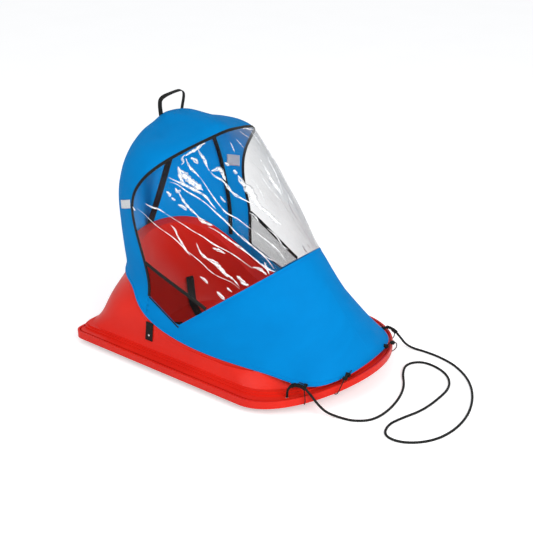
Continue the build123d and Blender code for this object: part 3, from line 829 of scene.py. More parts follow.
def skin_sheet(low, high, step, shape=None):
    """A bmesh of the skin between two heights, and its top row; a shape says how far each point moves out.

    Layers "run" and "rise" hold distances along the skin, for its UV map.
    """
    fine = np.linspace(0, LEVELS[-1], 2000)
    heights = skin_controls(fine)[:, 20]
    start, end = np.interp((low, high), heights, fine)
    levels = np.linspace(start, end, round((end - start) / step) + 1)
    columns = even_columns(step)
    count = len(columns)
    grid = skin_grid(levels, columns)
    run = np.cumsum(np.linalg.norm(np.diff(grid, axis=1, prepend=grid[:, :1]), axis=2), axis=1)
    run -= run[:, [count // 2]]
    rise = np.cumsum(np.linalg.norm(np.diff(grid, axis=0, prepend=grid[:1]), axis=2), axis=0)
    if shape:
        outward = unit(np.cross(np.gradient(grid, axis=0), np.gradient(grid, axis=1)))
        grid = grid + outward * shape(grid)[..., None]
    bm = bmesh.new()
    run_key, rise_key = (bm.verts.layers.float.new(key) for key in ("run", "rise"))
    made = []
    for i in range(len(levels)):
        row = [bm.verts.new(place) for place in grid[i]]
        for j, vertex in enumerate(row):
            vertex[run_key], vertex[rise_key] = run[i, j], rise[i, j]
        made.append(row)
    for below, above in zip(made, made[1:]):
        for j in range(count):
            k = (j + 1) % count
            bm.faces.new((below[j], above[j], above[k], below[k]))
    return bm, made[-1]


print("columns round the tent, 6 mm apart:", len(even_columns(0.006)))

# %% Cutting a sheet along a line of the side view
SHORTEST_EDGE = 0.0009


def trim(bm, measure):
    """Cuts the sheet where the measure of (x, z) is zero, and drops the part where it is negative."""
    bm.verts.index_update()
    places = np.array([vertex.co[:] for vertex in bm.verts])
    value = dict(zip(bm.verts, measure(places[:, 0], places[:, 2]).tolist()))
    fresh = []
    for edge in list(bm.edges):
        a, b = edge.verts
        if value[a] * value[b] < 0:
            _, new = bmesh.utils.edge_split(edge, a, value[a] / (value[a] - value[b]))
            value[new] = 0.0
            fresh.append(new)
    for face in list(bm.faces):
        ends = [vertex for vertex in face.verts if value[vertex] == 0.0]
        if len(ends) == 2 and not any(set(edge.verts) == set(ends) for edge in face.edges):
            bmesh.utils.face_split(face, ends[0], ends[1])
    gone = [face for face in bm.faces if sum(value[vertex] for vertex in face.verts) < 0]
    bmesh.ops.delete(bm, geom=gone, context="FACES")
    fresh = [vertex for vertex in fresh if vertex.is_valid]
    bmesh.ops.remove_doubles(bm, verts=fresh, dist=SHORTEST_EDGE)
    return [vertex for vertex in fresh if vertex.is_valid]


# %% From a bmesh to a sheet with a thickness
def bmesh_object(name, bm):
    """An object made of a finished bmesh."""
    mesh = bpy.data.meshes.new(name)
    bm.to_mesh(mesh)
    bm.free()
    return add_object(name, mesh)


def finish_sheet(name, bm, thick, *materials):
    """The sheet as an object with a thickness and a UV map in metres, and its area.

    A second material lines it.  A face that closes the ring has its UVs moved past the far end.
    """
    run, rise = (bm.verts.layers.float[key] for key in ("run", "rise"))
    flat = bm.loops.layers.uv.new("UVMap")
    whole = max(vertex[run] for vertex in bm.verts) - min(vertex[run] for vertex in bm.verts)
    for face in bm.faces:
        face.smooth = True
        runs = [loop.vert[run] for loop in face.loops]
        wraps = max(runs) - min(runs) > 0.2
        for loop, here in zip(face.loops, runs):
            loop[flat].uv = (here + (whole if wraps and here < 0 else 0.0), loop.vert[rise])
    area = sum(face.calc_area() for face in bm.faces)
    made = bmesh_object(name, bm)
    give_material(made, *materials)
    wall = made.modifiers.new("thickness", "SOLIDIFY")
    wall.thickness = thick
    wall.offset = -1.0
    wall.use_rim = True
    wall.material_offset = len(materials) - 1
    settle(made)
    return made, area


# %% The pattern lines
def side_curve(points):
    """A smooth line through points (x, z) of the side view in millimetres, read back in metres."""
    points = np.array(points) / 1000
    along = distances(points)
    return smooth_through(along, points)(np.linspace(0, along[-1], 400))


FACE = side_curve([(-190, -60), (-193, 208), (-199, 308), (-229, 431), (-226, 500), (-181, 576),
                   (-128, 628), (-45, 700)])
HEM = side_curve([(-545, 218), (-300, 216), (-264, 208), (-224, 170), (-185, 141), (-100, 112), (0, 98),
                  (130, 93), (250, 88), (320, 79), (375, 77), (445, 98)])
# the vent's corners, in metres: top back, nose, bottom, and back where the apron ends
VENT_A, VENT_B, VENT_C, VENT_D = (-0.197, 0.308), (0.010, 0.2088), (-0.070, 0.148), (-0.193, 0.208)


def line_height(x, start, end):
    """The height of a straight line of the side view at x."""
    return start[1] + (end[1] - start[1]) * (x - start[0]) / (end[0] - start[0])


def face_x(z):
    """How far forward the hood's face edge is at a height."""
    return np.interp(z, FACE[:, 1], FACE[:, 0])


def hem_z(x):
    """The height of the tent's hem at x."""
    return np.interp(x, HEM[:, 0], HEM[:, 1])


def window_foot(x):
    """The lower edge of the window, over the vent and then along the apron."""
    return np.maximum(line_height(x, VENT_A, VENT_B), line_height(x, VENT_C, VENT_B))


def apron_top(x):
    """The upper edge of the apron, under the vent and then along the window."""
    return np.maximum(line_height(x, VENT_D, VENT_C), line_height(x, VENT_C, VENT_B))


def ease(value, width):
    """0 at an edge, 1 from a width inside it, with no corner between."""
    share = np.clip(value / width, 0, 1)
    return share * share * (3 - 2 * share)


print("the face edge is", round(length_of(FACE), 3), "m long in the side view")


# %% [markdown]
# ## The hood
#
# The hood is one panel of coated cloth over two hoops.  Sewn cloth is never as smooth as its
# pattern: it ripples a little between the hoops and pulls straight along its seams.  The
# ripples are moved into the mesh itself, so they show in the outline too, and fade out at
# every seam.  Daylight comes through the cloth, so its lining is painted paler than its face
# and given a faint painted glow.

# %% The hood panel
def cloudy(points, scale, seed):
    """Smooth noise at an array of points, one value a point, shifted by a seed."""
    flat = (points.reshape(-1, 3) * scale + seed).tolist()
    return np.array([noise.noise(point) for point in flat]).reshape(points.shape[:-1])


CLOTH_THICK = 0.0011
ROOF_MIDDLE = Vector((-0.240, 0.0, 0.6914))
SEAM_LAP = 0.0045  # how far cloth goes past a seam's line


def hood_ripples(grid):
    """How far the hood's cloth moves out at each point: long waves and short ones, calm at the seams."""
    x, z = grid[..., 0], grid[..., 2]
    calm = ease(face_x(z) - x, 0.05) * ease(z - hem_z(x), 0.06)
    long_waves = cloudy(grid * (1.0, 1.0, 0.45), 9.0, 3.1)
    short_waves = cloudy(grid * (1.0, 1.0, 0.6), 24.0, 7.7)
    return calm * (0.0030 * long_waves + 0.0012 * short_waves - 0.0004)


def close_roof(bm, row):
    """Closes the ring at the top of the skin with two more rings and a middle point."""
    run, rise = (bm.verts.layers.float[key] for key in ("run", "rise"))
    for _ in range(2):
        inner = [bm.verts.new(ROOF_MIDDLE.lerp(vertex.co, 0.5)) for vertex in row]
        for new, vertex in zip(inner, row):
            new[run], new[rise] = vertex[run], vertex[rise] + 0.010
        for j in range(len(row)):
            k = (j + 1) % len(row)
            bm.faces.new((row[j], inner[j], inner[k], row[k]))
        row = inner
    top = bm.verts.new(ROOF_MIDDLE)
    top[rise] = row[0][rise] + 0.006
    for j in range(len(row)):
        bm.faces.new((row[j], top, row[(j + 1) % len(row)]))


bm, top_row = skin_sheet(0.150, 0.69099, 0.0066, hood_ripples)
close_roof(bm, top_row)
trim(bm, lambda x, z: face_x(z) + SEAM_LAP - x)
trim(bm, lambda x, z: z - hem_z(x))
hood, hood_area = finish_sheet("hood_cloth", bm, CLOTH_THICK, CANOPY_CLOTH, CANOPY_LINING_PAINTED_LIGHT)
put_in_place(hood, "canopy_cloth", "hood")
print("hood:", len(hood.data.polygons), "faces,", round(hood_area, 3), "square metres of cloth")

# %% [markdown]
# ## The apron
#
# The apron covers the legs, from the window down to the lip of the bow.  It is cut from the
# same skin in front of the hood.  It is held only at its rim, so it keeps a few shallow pulls
# that run from the ties at its corners up towards the window.

# %% The apron panel
def apron_ripples(grid):
    """How far the apron's cloth moves out at each point, calm at its rim."""
    x, z = grid[..., 0], grid[..., 2]
    calm = ease(apron_top(x) - z, 0.05) * ease(z - hem_z(x), 0.035) * ease(x - face_x(z), 0.05)
    return calm * (0.0042 * cloudy(grid * (0.8, 1.0, 1.0), 8.0, 11.3) + 0.0015 * cloudy(grid, 22.0, 5.2))


bm, _ = skin_sheet(0.060, 0.362, 0.0060, apron_ripples)
trim(bm, lambda x, z: x - face_x(z))
trim(bm, lambda x, z: z - hem_z(x))
trim(bm, lambda x, z: apron_top(x) - z)
apron, apron_area = finish_sheet("apron_cloth", bm, CLOTH_THICK, CANOPY_CLOTH, CANOPY_LINING_PAINTED_LIGHT)
put_in_place(apron, "canopy_cloth", "apron")
print("apron:", len(apron.data.polygons), "faces,", round(apron_area, 3), "square metres of cloth")

# %% [markdown]
# ## The window
#
# The window is one sheet of soft clear film, cut from the same skin.  Film doesn't stretch as
# cloth does, so it stays a little wavy between its seams.  Clear film is hard to see at all: a
# thin veil that thickens and is painted paler where the sheet turns away, a painted reflection,
# is enough, and its sharp folds come later.

# %% The window panel
FILM_THICK = 0.0008
FOOT_LAP = 0.004  # under the apron's edge in front, and short of the vent's line behind


def window_waves(grid):
    """How far the film moves out at each point, calm at the binding and along its foot."""
    x, z = grid[..., 0], grid[..., 2]
    return ease(x - face_x(z), 0.05) * ease(z - window_foot(x), 0.03) * (0.0030 * cloudy(grid, 9.0, 1.7))


bm, _ = skin_sheet(0.196, 0.676, 0.0052, window_waves)
trim(bm, lambda x, z: x - face_x(z) - 0.0065)
trim(bm, lambda x, z: z - window_foot(x) + np.where(x > VENT_B[0], FOOT_LAP, -FOOT_LAP))
window, window_area = finish_sheet("window_film", bm, FILM_THICK, CLEAR_VINYL)
put_in_place(window, "clear_vinyl", "window")
print("window:", len(window.data.polygons), "faces,", round(window_area, 3), "square metres of film")

# %% [markdown]
# ## Netting in the vents
#
# Below the window, each side panel has a vent between two tapes.  A vent lets air in and keeps
# snow out, so it is closed with fine black net.  A net of real threads would be thousands of
# holes too small to see, so it is one sheet whose weave is cut out by its material instead.

# %% The two vent nets
NET_INSET = 0.0012  # the net lies a millimetre inside the skin


def keep_side(bm, side, gap=0.0):
    """Drops the part of a sheet on the other side of the tent, and a gap along its middle."""
    wrong = [face for face in bm.faces if face.calc_center_median().y * side < gap]
    bmesh.ops.delete(bm, geom=wrong, context="FACES")


def vent_net(name, side):
    """One side's net, cut a little larger than its opening."""
    bm, _ = skin_sheet(0.130, 0.330, 0.006, lambda grid: np.full(grid.shape[:2], -NET_INSET))
    keep_side(bm, side, gap=0.01)
    trim(bm, lambda x, z: x - face_x(z) + 0.002)
    trim(bm, lambda x, z: line_height(x, VENT_A, VENT_B) + 0.004 - z)
    trim(bm, lambda x, z: z - apron_top(x) + 0.003)
    made, area = finish_sheet(name, bm, 0.0004, NETTING)
    put_in_place(made, "black_tape")
    print(name, "has", len(made.data.polygons), "faces and", round(area * 1e4, 1), "square centimetres")


for side, name in SIDES:
    vent_net(f"vent_netting_{name}", side)


# %% [markdown]
# ## Tapes, hems and webbing
#
# Where film meets cloth, a black tape is folded over both edges and sewn through, so it shows
# inside and out.  Every tape, hem and strap here is one swept strip: a flat outline with
# rounded edges, carried along a line that is found on the skin itself.  Its UV map runs along
# the strip in metres, so the threads of the weave keep their size round every bend.

# %% Lines on the skin
def skin_line(measure, low, high, order, wanted=None, step=0.007):
    """Where the measure of (x, z) is zero on the skin: its points and outward normals, in order.

    A test of the points keeps the wanted ones.  The line is evened out three times at its end.
    """
    bm, _ = skin_sheet(low, high, step)
    fresh = trim(bm, measure)
    bm.normal_update()
    points = np.array([vertex.co[:] for vertex in fresh])
    normals = np.array([vertex.normal[:] for vertex in fresh])
    bm.free()
    if wanted is not None:
        here = wanted(points)
        points, normals = points[here], normals[here]
    turn = np.argsort(order(points))
    both = np.hstack([points[turn], normals[turn]])
    for _ in range(3):
        both[1:-1] = 0.25 * both[:-2] + 0.5 * both[1:-1] + 0.25 * both[2:]
    return both


def over_the_top(points):
    """Orders points from one flank over the roof to the other."""
    return np.arctan2(points[:, 1], points[:, 2] - 0.15)


def along_x(points):
    """Orders points from back to front."""
    return points[:, 0]


# %% Strips along a line
HALF_OUTLINE = [(-0.5, 0), (-0.485, 0.3), (-0.44, 0.5), (-0.2, 0.5), (0, 0.5), (0.2, 0.5), (0.44, 0.5),
                (0.485, 0.3)]
STRIP_OUTLINE = np.array(HALF_OUTLINE + [(-x, -y) for x, y in HALF_OUTLINE])


def strip(name, both, width, thick, lift, step=0.004):
    """A flat strip along points with outward directions, lifted off its line by a distance."""
    both = spaced(both, step)
    line, out = both[:, :3], unit(both[:, 3:])
    ahead = unit(np.gradient(line, axis=0))
    across = unit(np.cross(out, ahead))
    out = unit(np.cross(ahead, across))
    widths = np.broadcast_to(width, len(line))
    aside = (STRIP_OUTLINE[:, 0] * widths[:, None])[..., None]
    rise = (STRIP_OUTLINE[:, 1] * thick)[:, None]
    rings = (line + out * lift)[:, None] + across[:, None] * aside + out[:, None] * rise
    along = distances(line)
    over = distances(np.vstack([STRIP_OUTLINE, STRIP_OUTLINE[:1]]) * (np.mean(widths), thick))
    around = len(STRIP_OUTLINE)
    faces = [(a, d, c, b) for a, b, c, d in tube_faces(len(line), around)]
    uvs = [corner for here, there in zip(along, along[1:]) for low, high in zip(over, over[1:])
           for corner in ((here, low), (there, low), (there, high), (here, high))]
    last = (len(line) - 1) * around
    faces += [tuple(range(around)), tuple(last + j for j in reversed(range(around)))]
    uvs += [tuple(pair * 0.02) for pair in STRIP_OUTLINE] * 2
    return make_object(name, rings.reshape(-1, 3), faces, uvs)


# %% The face binding and the vent tapes
TAPE_LIFT = -0.0004  # a tape is folded over its edge, so its middle lies just inside the skin


def laid_strip(name, line, material, slot, *nodes, **sizes):
    """A strip along its line, dressed and measured."""
    dress(strip(name, line, **sizes), material, slot, *nodes)
    print(name, "is", round(length_of(line[:, :3]), 3), "m long")


binding_line = skin_line(lambda x, z: face_x(z) + 0.0055 - x, 0.2045, 0.688, over_the_top)
laid_strip("face_binding_tape", binding_line, BLACK_TAPE, "black_tape", "face_binding",
           width=0.0088, thick=0.0034, lift=TAPE_LIFT)


def tape_line(start, end, shift, side):
    """A line on one side panel, along a straight line of the side view moved up by a distance."""
    def on_this_side(points):
        along = points[:, 0]
        return (along > start[0] + 0.002) & (along < end[0] + 0.004) & (points[:, 1] * side > 0)

    return skin_line(lambda x, z: z - line_height(x, start, end) - shift, 0.12, 0.34, along_x,
                     wanted=on_this_side, step=0.006)


upper_lines = []
for side, name in SIDES:
    upper = tape_line(VENT_A, VENT_B, 0.0062, side)
    lower = tape_line(VENT_D, VENT_C, -0.0026, side)
    laid_strip(f"vent_tape_{name}_upper", upper, BLACK_TAPE, "black_tape", f"vent_tape_{name}",
               width=0.011, thick=0.0036, lift=TAPE_LIFT)
    laid_strip(f"vent_tape_{name}_lower", lower, BLACK_TAPE, "black_tape",
               width=0.0042, thick=0.0034, lift=TAPE_LIFT)
    upper_lines.append(upper)


# %% Rolled hems
def plan_turn(points):
    """Orders points round the tent, as seen from above."""
    return np.arctan2(points[:, 1], points[:, 0] - 0.02) % (2 * pi)


HEM_WIDTH = 0.0095
HEM_RAISE = 0.0045  # from the cloth's edge to the middle of its hem
hem_line = skin_line(lambda x, z: z - hem_z(x) - HEM_RAISE, 0.070, 0.24, plan_turn)
hem_line = np.vstack([hem_line, hem_line[:1]])
laid_strip("canopy_hem", hem_line, CANOPY_CLOTH, "canopy_cloth", width=HEM_WIDTH, thick=0.0032, lift=-0.0005)
apron_edge = skin_line(lambda x, z: line_height(x, VENT_C, VENT_B) - HEM_RAISE - z, 0.140, 0.358,
                       lambda points: points[:, 1], lambda points: points[:, 0] > VENT_C[0] + 0.004)
laid_strip("apron_top_hem", apron_edge, CANOPY_CLOTH, "canopy_cloth", width=HEM_WIDTH, thick=0.0024,
           lift=TAPE_LIFT)

# %% [markdown]
# ## The hoop and the straps
#
# A springy rod in a black sleeve holds the hood out behind the child's head.  A strap of
# webbing runs from the top of the backrest to the roof, and a short loop on the roof is the
# carry handle.  Flat straps keep their flat outline, so they are strips too, each with the
# direction in which it faces given along its way.

# %% Hoop sleeve
HOOP = side_curve([(-262, 120), (-257, 250), (-273, 378), (-288, 450), (-302, 540), (-300, 620), (-290, 720)])
hoop_line = skin_line(lambda x, z: np.interp(z, HOOP[:, 1], HOOP[:, 0]) - x, 0.228, 0.6905, over_the_top)
laid_strip("rear_hoop_sleeve", hoop_line, BLACK_TAPE, "black_tape", "rear_hoop",
           width=0.0125, thick=0.0042, lift=-0.0062)

# %% Back strap and carry handle
low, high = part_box("back_strap")
foot = np.array((low[0] + 0.004, 0, low[2] + 0.012))
head = np.array((high[0] - 0.0035, 0, high[2] - 0.005))
share = np.linspace(0, 1, 24)[:, None]
sag = np.sin(pi * share) * np.array((0.004, 0, -0.0015))
strap_points = foot + (head - foot) * share + sag
strap_line = np.hstack([strap_points, np.broadcast_to((0.93, 0, -0.36), strap_points.shape)])
laid_strip("back_strap_webbing", strap_line, BLACK_WEBBING, "black_webbing", "back_strap",
           width=0.032, thick=0.0020, lift=0.0)

# the loop's middle line, in millimetres, from its foot on the right to its foot on the left
HANDLE_ROUTE = [(-302, -33, 672), (-303, -35, 692), (-303, -36, 711), (-301, -35, 724), (-297, -24, 732),
                (-291, -6, 737), (-285, 16, 741), (-281, 33, 742), (-278, 42, 733), (-280, 42, 714),
                (-284, 39, 692), (-286, 37, 672)]
handle_points = spline_points(HANDLE_ROUTE, fineness=12)
twist = (1 - np.linspace(0, 1, len(handle_points))[:, None]) ** 3
facing = unit(handle_points - handle_points.mean(axis=0) + (1e-6, 0, 0))
handle_line = np.hstack([handle_points, unit(facing + np.array((0.9, -0.55, 0)) * twist)])
laid_strip("carry_handle_webbing", handle_line, BLACK_WEBBING, "black_webbing", "carry_handle",
           width=0.0135, thick=0.0021, lift=0.0, step=0.002)

# %% [markdown]
# ## Lap belt, anchor straps and rivets
#
# The lap belt comes out of a slot on each side of the well and clips together over the pan.
# Two short straps hold the skirt to the hull, each under one domed rivet.

# %% Lap belt
# the belt's way from its slot, in millimetres: how far along the belt, and how high
BELT_ROUTE = [(-9, 92), (3, 89), (8, 82), (13, 64), (24, 30), (34, 14), (48, 10), (80, 10), (112, 10)]
BELT_SLOT = (-337, 105)
BELT_TURN = radians(35)  # how far the belt turns from pointing forwards to the other side
for side, name in SIDES:
    turned = [(BELT_SLOT[0] + along * cos(BELT_TURN), side * (BELT_SLOT[1] - along * sin(BELT_TURN)), z)
              for along, z in BELT_ROUTE]
    points = spline_points(turned, fineness=10)
    across = np.array((sin(BELT_TURN), side * cos(BELT_TURN), 0)) * side
    facing = np.cross(unit(np.gradient(points, axis=0)), across)
    facing *= np.sign(facing[-1, 2])
    laid_strip(f"lap_belt_{name}_webbing", np.hstack([points, facing]), BLACK_WEBBING, "black_webbing",
               f"lap_belt_{name}", width=0.025, thick=0.0018, lift=0.0)


# %% Anchor straps and their rivets
def turned_shape(name, centre, profile, direction, around=28):
    """A round piece: a profile of (radius, height) pairs turned about an axis along y."""
    points = []
    for radius, height in profile:
        for j in range(around):
            turn = 2 * pi * j / around
            points.append((centre[0] + radius * cos(turn), centre[1] + direction * height,
                           centre[2] + direction * radius * sin(turn)))
    last = (len(profile) - 1) * around
    faces = tube_faces(len(profile), around)
    faces += [tuple(reversed(range(around))), tuple(last + j for j in range(around))]
    made = make_object(name, points, [face[::-1] for face in faces])
    turn_outward(made)
    return made


ANCHOR_X = -0.175
RIVET_DOME = [(0.0055, -0.0004), (0.0055, 0.0005), (0.0051, 0.0011), (0.0042, 0.0017), (0.0028, 0.0022),
              (0.0012, 0.0024)]


def anchor_line(name, side):
    """The strap's line down the hull's side, read from the outer face of its CAD piece."""
    places = np.array([vertex.co[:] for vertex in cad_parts[name].data.vertices])
    heights = np.linspace(places[:, 2].min() + 0.0006, places[:, 2].max() - 0.0006, 12)
    out = [max(abs(place[1]) for place in places if abs(place[2] - z) < 0.006) for z in heights]
    out = np.convolve(np.r_[out[0], out, out[-1]], (0.25, 0.5, 0.25), "valid")
    return np.array([(ANCHOR_X, side * y, z, 0.0, side * 0.97, 0.2) for y, z in zip(out, heights)])


for side, name in SIDES:
    laid_strip(f"anchor_strap_{name}_webbing", anchor_line(f"anchor_strap_{name}", side), BLACK_WEBBING,
               "black_webbing", f"anchor_strap_{name}", width=0.028, thick=0.0020, lift=-0.0005, step=0.003)
    low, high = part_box(f"anchor_rivet_{name}")
    centre = ((low[0] + high[0]) / 2, low[1] if side > 0 else high[1], (low[2] + high[2]) / 2)
    rivet = turned_shape(f"anchor_rivet_{name}_head", centre, RIVET_DOME, side)
    dress(rivet, BRIGHT_METAL, "bright_metal", f"anchor_rivet_{name}")


# %% Buckle
def plate(bm, outline, low, high):
    """A flat plate with the given outline, in metres, between two heights, added to a bmesh."""
    bottom = [bm.verts.new((x, y, low)) for x, y in outline]
    top = [bm.verts.new((x, y, high)) for x, y in outline]
    bm.faces.new(list(reversed(bottom)))
    bm.faces.new(top)
    for j in range(len(outline)):
        k = (j + 1) % len(outline)
        bm.faces.new((bottom[j], bottom[k], top[k], top[j]))


# outlines of the buckle's plates, in millimetres, round its middle
SOCKET = [(-18, -2), (-18, 20), (-13, 26), (13, 26), (18, 20), (18, -2), (12, -6), (-12, -6)]
CLIP = [(-15, -7), (-17, -12), (-17, -22), (-13, -26), (13, -26), (17, -22), (17, -12), (15, -7)]
PRONG = [(11, -8), (16, -8), (19, 1), (18.6, 10), (15.6, 11), (14.5, 3)]
BAR = [(-10, 17), (10, 17), (10, 20), (-10, 20)]
low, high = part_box("lap_belt_buckle")
middle_x, tall = (low[0] + high[0]) / 2, high[2] - low[2]
bm = bmesh.new()
for outline, start, end in ((SOCKET, 0.05, 1.0), (CLIP, 0.10, 0.86), (PRONG, 0.22, 0.80),
                            ([(-x, y) for x, y in reversed(PRONG)], 0.22, 0.80),
                            (BAR, 0.9, 1.06), ([(x, -y) for x, y in reversed(BAR)], 0.8, 0.95)):
    plate(bm, [(middle_x + x / 1000, y / 1000) for x, y in outline],
          low[2] + start * tall, low[2] + end * tall)
buckle = bmesh_object("lap_belt_buckle_shell", bm)
rounding = buckle.modifiers.new("rounding", "BEVEL")
rounding.width = 0.0011
rounding.segments = 3
settle(buckle)
buckle.data.polygons.foreach_set("use_smooth", [True] * len(buckle.data.polygons))
dress(buckle, BLACK_PLASTIC, "black_plastic", "lap_belt_buckle")
print("buckle:", len(buckle.data.polygons), "faces")


# %% Reflective patches
def skin_patch(name, side, x_range, z_range, rise, lift, *nodes):
    """A patch of tape on one side panel: its place, how steeply it rises, and its lift off the skin."""
    back, front = x_range
    bottom, top = z_range
    bm, _ = skin_sheet(bottom - 0.01, top + 0.04, 0.0045)
    keep_side(bm, side)
    for measure in (lambda x, z: x - back, lambda x, z: front - x,
                    lambda x, z: z - rise * (x - back) - bottom, lambda x, z: top + rise * (x - back) - z):
        trim(bm, measure)
    bm.normal_update()
    moves = [(vertex, vertex.normal.copy()) for vertex in bm.verts]
    for vertex, normal in moves:
        vertex.co += normal * lift
    made, _ = finish_sheet(name, bm, 0.0006, REFLECTIVE_TAPE)
    print(name, "has", len(made.data.polygons), "faces")
    return put_in_place(made, "reflective_tape", *nodes)


for side, name in SIDES:
    skin_patch(f"reflector_{name}_tape", side, (-0.292, -0.231), (0.448, 0.474), 0.37, 0.0016,
               f"reflector_{name}")
    skin_patch(f"reflector_{name}_inside", side, (-0.276, -0.236), (0.457, 0.493), 0.0, -0.0024)

# %% [markdown]
# ## Stitches
#
# Tapes and hems are sewn on with a row of short stitches near their edge.  A row follows a
# line and repeats one small shape, which is exactly what Geometry Nodes are for: the line is
# cut into equal steps, a stitch is set on each step, and each is turned to run along the line
# and to face the way the cloth faces.  A little seeded play keeps the row from looking printed.

# %% The tree that sews a row
def stitch_tree():
    """Geometry Nodes: a row of stitches along the edges of a mesh that carries an "out" direction."""
    tree = bpy.data.node_groups.new("stitch_row", "GeometryNodeTree")
    tree.is_modifier = True
    tree.interface.new_socket("Geometry", in_out="INPUT", socket_type="NodeSocketGeometry")
    sizes = (("Step", "NodeSocketFloat", 0.0048), ("Stitch Length", "NodeSocketFloat", 0.0034),
             ("Thread Width", "NodeSocketFloat", 0.0009), ("Seed", "NodeSocketInt", 3))
    for name, kind, value in sizes:
        tree.interface.new_socket(name, in_out="INPUT", socket_type=kind).default_value = value
    tree.interface.new_socket("Thread", in_out="INPUT", socket_type="NodeSocketMaterial")
    tree.interface.new_socket("Geometry", in_out="OUTPUT", socket_type="NodeSocketGeometry")
    enter, leave = tree.nodes.new("NodeGroupInput"), tree.nodes.new("NodeGroupOutput")

    def add(kind, **values):
        return fill(tree, tree.nodes.new(kind), **values)

    row = add("GeometryNodeMeshToCurve", Mesh=enter.outputs["Geometry"])
    even = tree.nodes.new("GeometryNodeResampleCurve")
    even.mode = "LENGTH"
    tree.links.new(row.outputs["Curve"], even.inputs["Curve"])
    tree.links.new(enter.outputs["Step"], even.inputs["Length"])
    bead = add("GeometryNodeMeshUVSphere", Segments=6, Rings=4, Radius=0.5)
    size = add("ShaderNodeCombineXYZ", X=enter.outputs["Stitch Length"], Y=enter.outputs["Thread Width"],
               Z=enter.outputs["Thread Width"])
    stitch = add("GeometryNodeTransform", Geometry=bead.outputs["Mesh"], Scale=size.outputs[0])
    facing = tree.nodes.new("GeometryNodeInputNamedAttribute")
    facing.data_type = "FLOAT_VECTOR"
    facing.inputs["Name"].default_value = "out"
    play = tree.nodes.new("FunctionNodeRandomValue")
    play.data_type = "FLOAT_VECTOR"
    play.inputs["Min"].default_value = (-0.08, -0.08, -0.08)
    play.inputs["Max"].default_value = (0.08, 0.08, 0.08)
    tree.links.new(enter.outputs["Seed"], play.inputs["Seed"])
    tilt = tree.nodes.new("ShaderNodeVectorMath")
    tree.links.new(tree.nodes.new("GeometryNodeInputTangent").outputs["Tangent"], tilt.inputs[0])
    tree.links.new(play.outputs[0], tilt.inputs[1])
    turn = tree.nodes.new("FunctionNodeAxesToRotation")
    turn.primary_axis, turn.secondary_axis = "X", "Z"
    tree.links.new(tilt.outputs[0], turn.inputs[0])
    tree.links.new(facing.outputs["Attribute"], turn.inputs[1])
    placed = add("GeometryNodeInstanceOnPoints", Points=even.outputs["Curve"], Instance=stitch.outputs[0],
                 Rotation=turn.outputs[0])
    real = add("GeometryNodeRealizeInstances", Geometry=placed.outputs["Instances"])
    soft = add("GeometryNodeSetShadeSmooth", Geometry=real.outputs[0])
    dyed = add("GeometryNodeSetMaterial", Geometry=soft.outputs[0], Material=enter.outputs["Thread"])
    tree.links.new(dyed.outputs[0], leave.inputs["Geometry"])
    return tree


STITCH_ROW = stitch_tree()
print("stitch tree:", len(STITCH_ROW.nodes), "nodes")


# %% Rows of stitches on the tapes and hems
def beside(both, aside, lift):
    """The same line moved sideways across its strip, and out to its face."""
    line, out = both[:, :3], unit(both[:, 3:])
    ahead = unit(np.gradient(line, axis=0))
    across = unit(np.cross(out, ahead))
    return np.hstack([line + across * aside + out * lift, out])


def sew(name, rows, thread, slot, **sizes):
    """Rows of stitches along lines with outward directions, as one plain mesh."""
    points = np.vstack(rows)
    mesh = bpy.data.meshes.new(name)
    edges, base = [], 0
    for row in rows:
        edges += [(base + i, base + i + 1) for i in range(len(row) - 1)]
        base += len(row)
    mesh.from_pydata(points[:, :3].tolist(), edges, [])
    facing = mesh.attributes.new("out", "FLOAT_VECTOR", "POINT")
    facing.data.foreach_set("vector", points[:, 3:].astype(np.float32).ravel())
    made = add_object(name, mesh)
    sewing = made.modifiers.new("sewing", "NODES")
    sewing.node_group = STITCH_ROW
    keys = {item.name: item.identifier for item in STITCH_ROW.interface.items_tree if item.in_out == "INPUT"}
    sewing[keys["Thread"]] = thread
    for size, value in sizes.items():
        sewing[keys[size.replace("_", " ")]] = value
    settle(made)
    return dress(made, thread, slot)


def sewn_rows(line, shifts, lift):
    """Lines for rows of stitches along a strip, each moved sideways by its shift."""
    return [spaced(beside(line, shift, lift), 0.004) for shift in shifts]


black_rows = sewn_rows(binding_line, (-0.0030, 0.0030), 0.0014)
for line in upper_lines:
    black_rows += sewn_rows(line, (-0.0037, 0.0037), 0.0014)
black_rows += [row * (1, 1, 1, -1, -1, -1) for row in sewn_rows(hoop_line, (-0.0045, 0.0045), -0.0085)]
black_rows += sewn_rows(strap_line, (-0.0125, 0.0125), 0.0009)
blue_rows = sewn_rows(hem_line[:-1], (0.0033, -0.0033), 0.0010)
blue_rows += sewn_rows(apron_edge, (0.0033, -0.0033), 0.0007)
stitches = [sew("binding_stitches", black_rows, BLACK_THREAD, "black_tape"),
            sew("hem_stitches", blue_rows, BLUE_THREAD, "canopy_cloth", Thread_Width=0.0007)]
print("stitches:", {piece.name: len(piece.data.polygons) // 24 for piece in stitches})


# %% [markdown]
# ## Creases in the film
#
# The hardest thing about soft clear film is that it is only seen where it is bent: every sharp
# fold shines white and all the rest nearly disappears.  A noise in the material would shine
# everywhere alike, so each fold is a piece of film of its own instead: a low ridge with pointed
# ends that is laid on the window along a few points, and pressed to its surface.  Its white
# colour and faint glow are a painted highlight.

